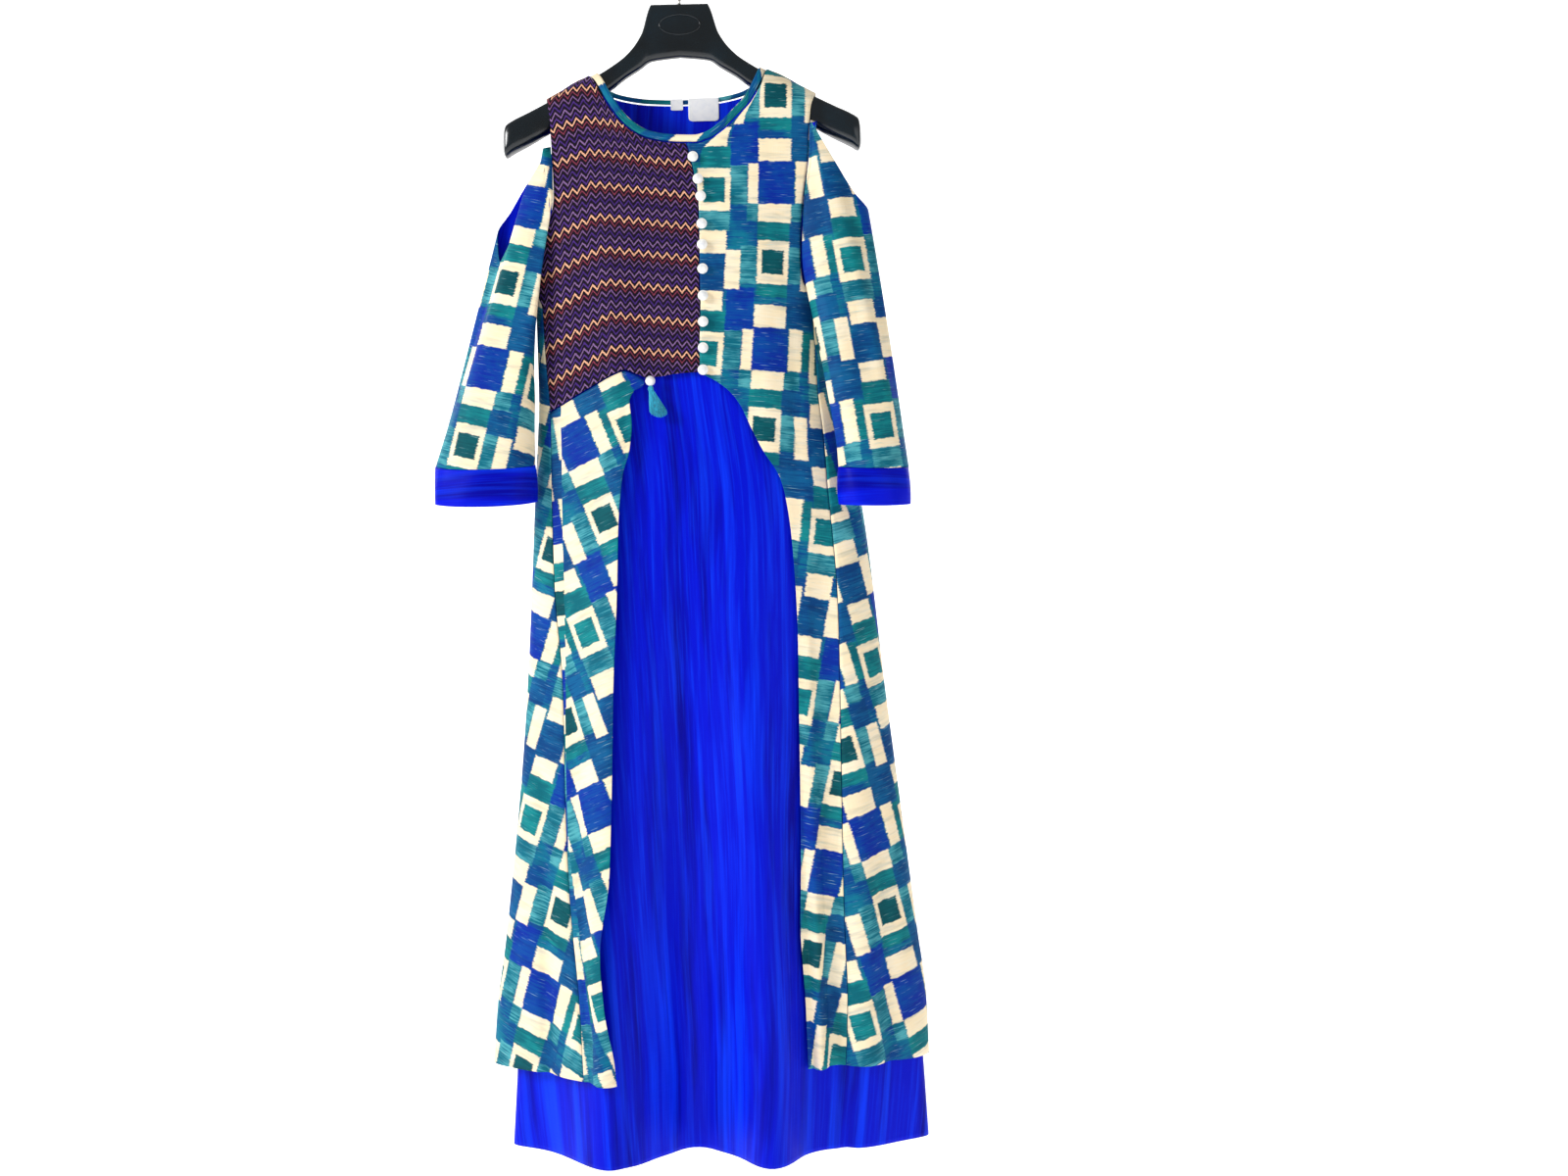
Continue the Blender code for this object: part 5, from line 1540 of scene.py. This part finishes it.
@dataclass
class Hanger:
    """The moulded suit hanger and its wire hook."""

    finishes: Finishes
    sections: Sequence[Arm] = (
        Arm(0, 55, 119, 9.0), Arm(34, 55, 123, 9.0), Arm(37, 60, 124, 9.0), Arm(47, 91, 131, 9.0),
        Arm(67, 117, 143.5, 9.0), Arm(82, 128, 154.5, 9.0), Arm(100, 138.9, 166, 9.0),
        Arm(130, 154.2, 186, 9.0), Arm(160, 169.6, 207, 9.5), Arm(185, 182.8, 221, 13.0),
        Arm(205, 192.8, 231, 14.5), Arm(214, 199, 236, 12.0), Arm(217.5, 209, 232, 6.0),
    )
    wire: float = 4.0
    hook_radius: float = 21.0
    plate_half_width: float = 24.5
    plate_half_height: float = 12.0
    plate_drop: float = 82.0
    rim_wire: float = 0.9

    def build(self, dress: Dress) -> None:
        """Build the body as rounded upright sections with a groove along each arm, and its hook."""
        steps = np.concatenate((np.linspace(0, 33, 12), np.linspace(34, 60, 40),
                                np.linspace(61, 212, 90), np.linspace(212.5, 217.5, 16)))
        xs = np.concatenate((-steps[:0:-1], steps))
        place = [row.x for row in self.sections]
        size = np.abs(xs)
        top, bottom, deep = (smooth(size, place, [getattr(row, name) for row in self.sections])
                             for name in ("top", "bottom", "half_depth"))
        end = np.sqrt(np.clip(1 - ((size - 212.5) / 5.2) ** 2, 0, 1)) ** 0.6
        shrink = np.where(size > 212.5, np.maximum(end, 0.35), 1.0)
        angle = np.linspace(0, 2 * math.pi, 65)[None, :]
        power = 2 / 3.2
        y = signed_power(np.cos(angle), power) * (deep * shrink)[:, None]
        half = ((bottom - top) / 2)[:, None]
        rise = signed_power(np.sin(angle), power) * half * shrink[:, None]
        groove_on = ease(size, 150, 175)[:, None] * (1 - ease(size, 205, 212))[:, None]
        groove = np.exp(-((rise / half - 0.42) / 0.09) ** 2) * groove_on * 1.1
        y = y - np.sign(y) * groove
        z = rise - ((top + bottom) / 2)[:, None]
        points = np.stack((np.broadcast_to(xs[:, None], y.shape), y, z), axis=-1)
        piece = add_grid("hanger_moulding", points, self.finishes.plastic, closed=True, wall=0.0)
        mend(piece.data)
        dress.ride(piece, ["hanger_body"])
        self.build_plate_rim(dress)
        self.build_hook(dress)

    def build_plate_rim(self, dress: Dress) -> None:
        """Build the bare plate's raised oval rim: a circle carried round an ellipse."""
        round_it = np.linspace(0, 2 * math.pi, 73)[:, None]
        tube = np.linspace(0, 2 * math.pi, 13)[None, :]
        reach = self.rim_wire * np.cos(tube)
        x = (self.plate_half_width + reach) * np.cos(round_it)
        z = (self.plate_half_height + reach) * np.sin(round_it) - self.plate_drop
        y = -self.sections[0].half_depth + 0.1 + self.rim_wire * np.sin(tube) + 0 * round_it
        points = np.stack((x, y, z), axis=-1)
        piece = add_grid("hanger_plate_rim", points, self.finishes.plastic, closed=True, wall=0.0)
        mend(piece.data)
        dress.ride(piece, [])

    def build_hook(self, dress: Dress) -> None:
        """Build the plated hook: a round wire swept from the hanger's neck over the rail."""
        radius, crown = self.hook_radius, self.wire / 2 - self.hook_radius
        first, last = math.radians(-55), math.radians(205)
        foot = -self.sections[0].top + 0.35
        start = (radius * math.cos(first), crown + radius * math.sin(first))
        route = [(0.0, foot), (0.0, foot + 3.0), (0.8, foot + 6.0), (start[0] / 2, start[1] - 3.5)]
        route += [(radius * math.cos(a), crown + radius * math.sin(a))
                  for a in np.linspace(first, last, 60)]
        centre = np.array(route)
        along = np.gradient(centre, axis=0)
        along /= np.linalg.norm(along, axis=1)[:, None]
        side = np.stack((-along[:, 1], along[:, 0]), axis=-1)
        round_it = np.linspace(0, 2 * math.pi, 21)[None, :]
        thick = np.full(len(centre), self.wire / 2)
        thick[-1] *= 0.7
        x = centre[:, :1] + side[:, :1] * np.cos(round_it) * thick[:, None]
        z = centre[:, 1:] + side[:, 1:] * np.cos(round_it) * thick[:, None]
        y = np.sin(round_it) * thick[:, None]
        points = np.stack((x, y, z), axis=-1)
        piece = add_grid("hook_wire", points, self.finishes.wire, closed=True, wall=0.0)
        mend(piece.data)
        dress.ride(piece, ["hanger_hook"])


@dataclass
class Studio:
    """The plain pale room: a swept floor and backdrop, soft lights and the photograph's camera."""

    floor: float = -1.62
    back: float = 2.6

    def build(self) -> None:
        """Build the sweep, the lights, the world and the camera."""
        self.build_sweep()
        self.add_light("key_light", (-2.5, -1.5, 0.6), (0.0, 0.0, -0.7), 1.0, 74.0)
        self.add_light("fill_light", (2.2, -2.4, -0.2), (0.0, 0.0, -0.8), 2.0, 12.0)
        self.add_light("back_light_left", (-1.9, 1.6, 0.6), (0.0, 0.0, -0.8), 1.6, 14.0)
        self.add_light("back_light_right", (1.9, 1.8, 0.2), (0.0, 0.0, -0.8), 1.6, 14.0)
        world = bpy.data.worlds.new("pale_studio")
        world.use_nodes = True
        world.node_tree.nodes["Background"].inputs[0].default_value = (1.0, 1.0, 1.0, 1.0)
        world.node_tree.nodes["Background"].inputs[1].default_value = 0.30
        bpy.context.scene.world = world
        camera = bpy.data.cameras.new("photo_camera")
        camera.sensor_width = 36.0
        camera.lens = 34.07
        camera.shift_x = 0.0531
        item = bpy.data.objects.new("photo_camera", camera)
        item.location = (0.0101, -1.8, -0.7627)
        item.rotation_euler = (math.pi / 2, math.radians(1.3), 0.0)
        bpy.context.scene.collection.objects.link(item)
        bpy.context.scene.camera = item
        bpy.context.scene.view_settings.view_transform = "Standard"

    def build_sweep(self) -> None:
        """Build the floor and backdrop as one sheet that curves up behind the dress."""
        turn = np.linspace(0, math.pi / 2, 24)
        bend = 0.9
        along = np.concatenate((np.linspace(-6.0, self.back - bend, 8),
                                self.back - bend + bend * np.sin(turn)[1:],
                                np.full(8, self.back)))
        height = np.concatenate((np.full(8, self.floor), self.floor + bend * (1 - np.cos(turn))[1:],
                                 np.linspace(self.floor + bend, 5.0, 9)[1:]))
        across = np.linspace(-7, 7, 9)
        points = np.stack(np.broadcast_arrays(across[None], along[:, None], height[:, None]),
                          axis=-1) / MM
        material, tree, shader = new_material("pale_paper_sweep")
        grain = noise(tree, put(tree, "TexCoord").outputs["Object"], 3.0)
        feed(tree, shader, {
            "Base Color": blend(tree, grain, hex_colour("#FEFEFE"), hex_colour("#FBFBFC")),
            "Roughness": 0.9, "Emission Color": hex_colour("#FFFFFF"), "Emission Strength": 0.55})
        sweep = add_grid("pale_sweep", points, material, wall=0.0)

    def add_light(self, name: str, place: tuple[float, float, float],
                  aim: tuple[float, float, float], size: float, power: float) -> None:
        """Add a soft square light that looks at a point.

        Args:
            name: Its name.
            place: Where it stands, in metres.
            aim: What it looks at, in metres.
            size: Its side, in metres.
            power: Its power, in watts.
        """
        lamp = bpy.data.lights.new(name, "AREA")
        lamp.size = size
        lamp.energy = power
        item = bpy.data.objects.new(name, lamp)
        back = np.array(place) - np.array(aim)
        item.location = place
        item.rotation_euler = (math.atan2(math.hypot(back[0], back[1]), back[2]), 0.0,
                               math.atan2(back[0], -back[1]))
        bpy.context.scene.collection.objects.link(item)


def main() -> None:
    """Build the studio, the dress, its sleeves and trims, and the hanger."""
    logging.basicConfig(level=logging.INFO, format="%(name)s: %(message)s")
    Studio().build()
    finishes = Finishes()
    dress = Dress(finishes)
    dress.build_under()
    dress.build_chevron_bodice()
    dress.build_print_front()
    dress.build_print_skirt()
    dress.build_print_back()
    dress.build_bindings()
    RIGHT_SLEEVE.build(dress, ARMHOLE_LEFT_FRONT, ARMHOLE_LEFT_BACK)
    LEFT_SLEEVE.build(dress, ARMHOLE_RIGHT_FRONT, ARMHOLE_RIGHT_BACK)
    trims = Trims(finishes)
    trims.build_buttons(dress)
    trims.build_bead(dress)
    trims.build_tassel(dress)
    trims.build_labels(dress)
    Hanger(finishes).build(dress)


if __name__ == "__main__":
    main()
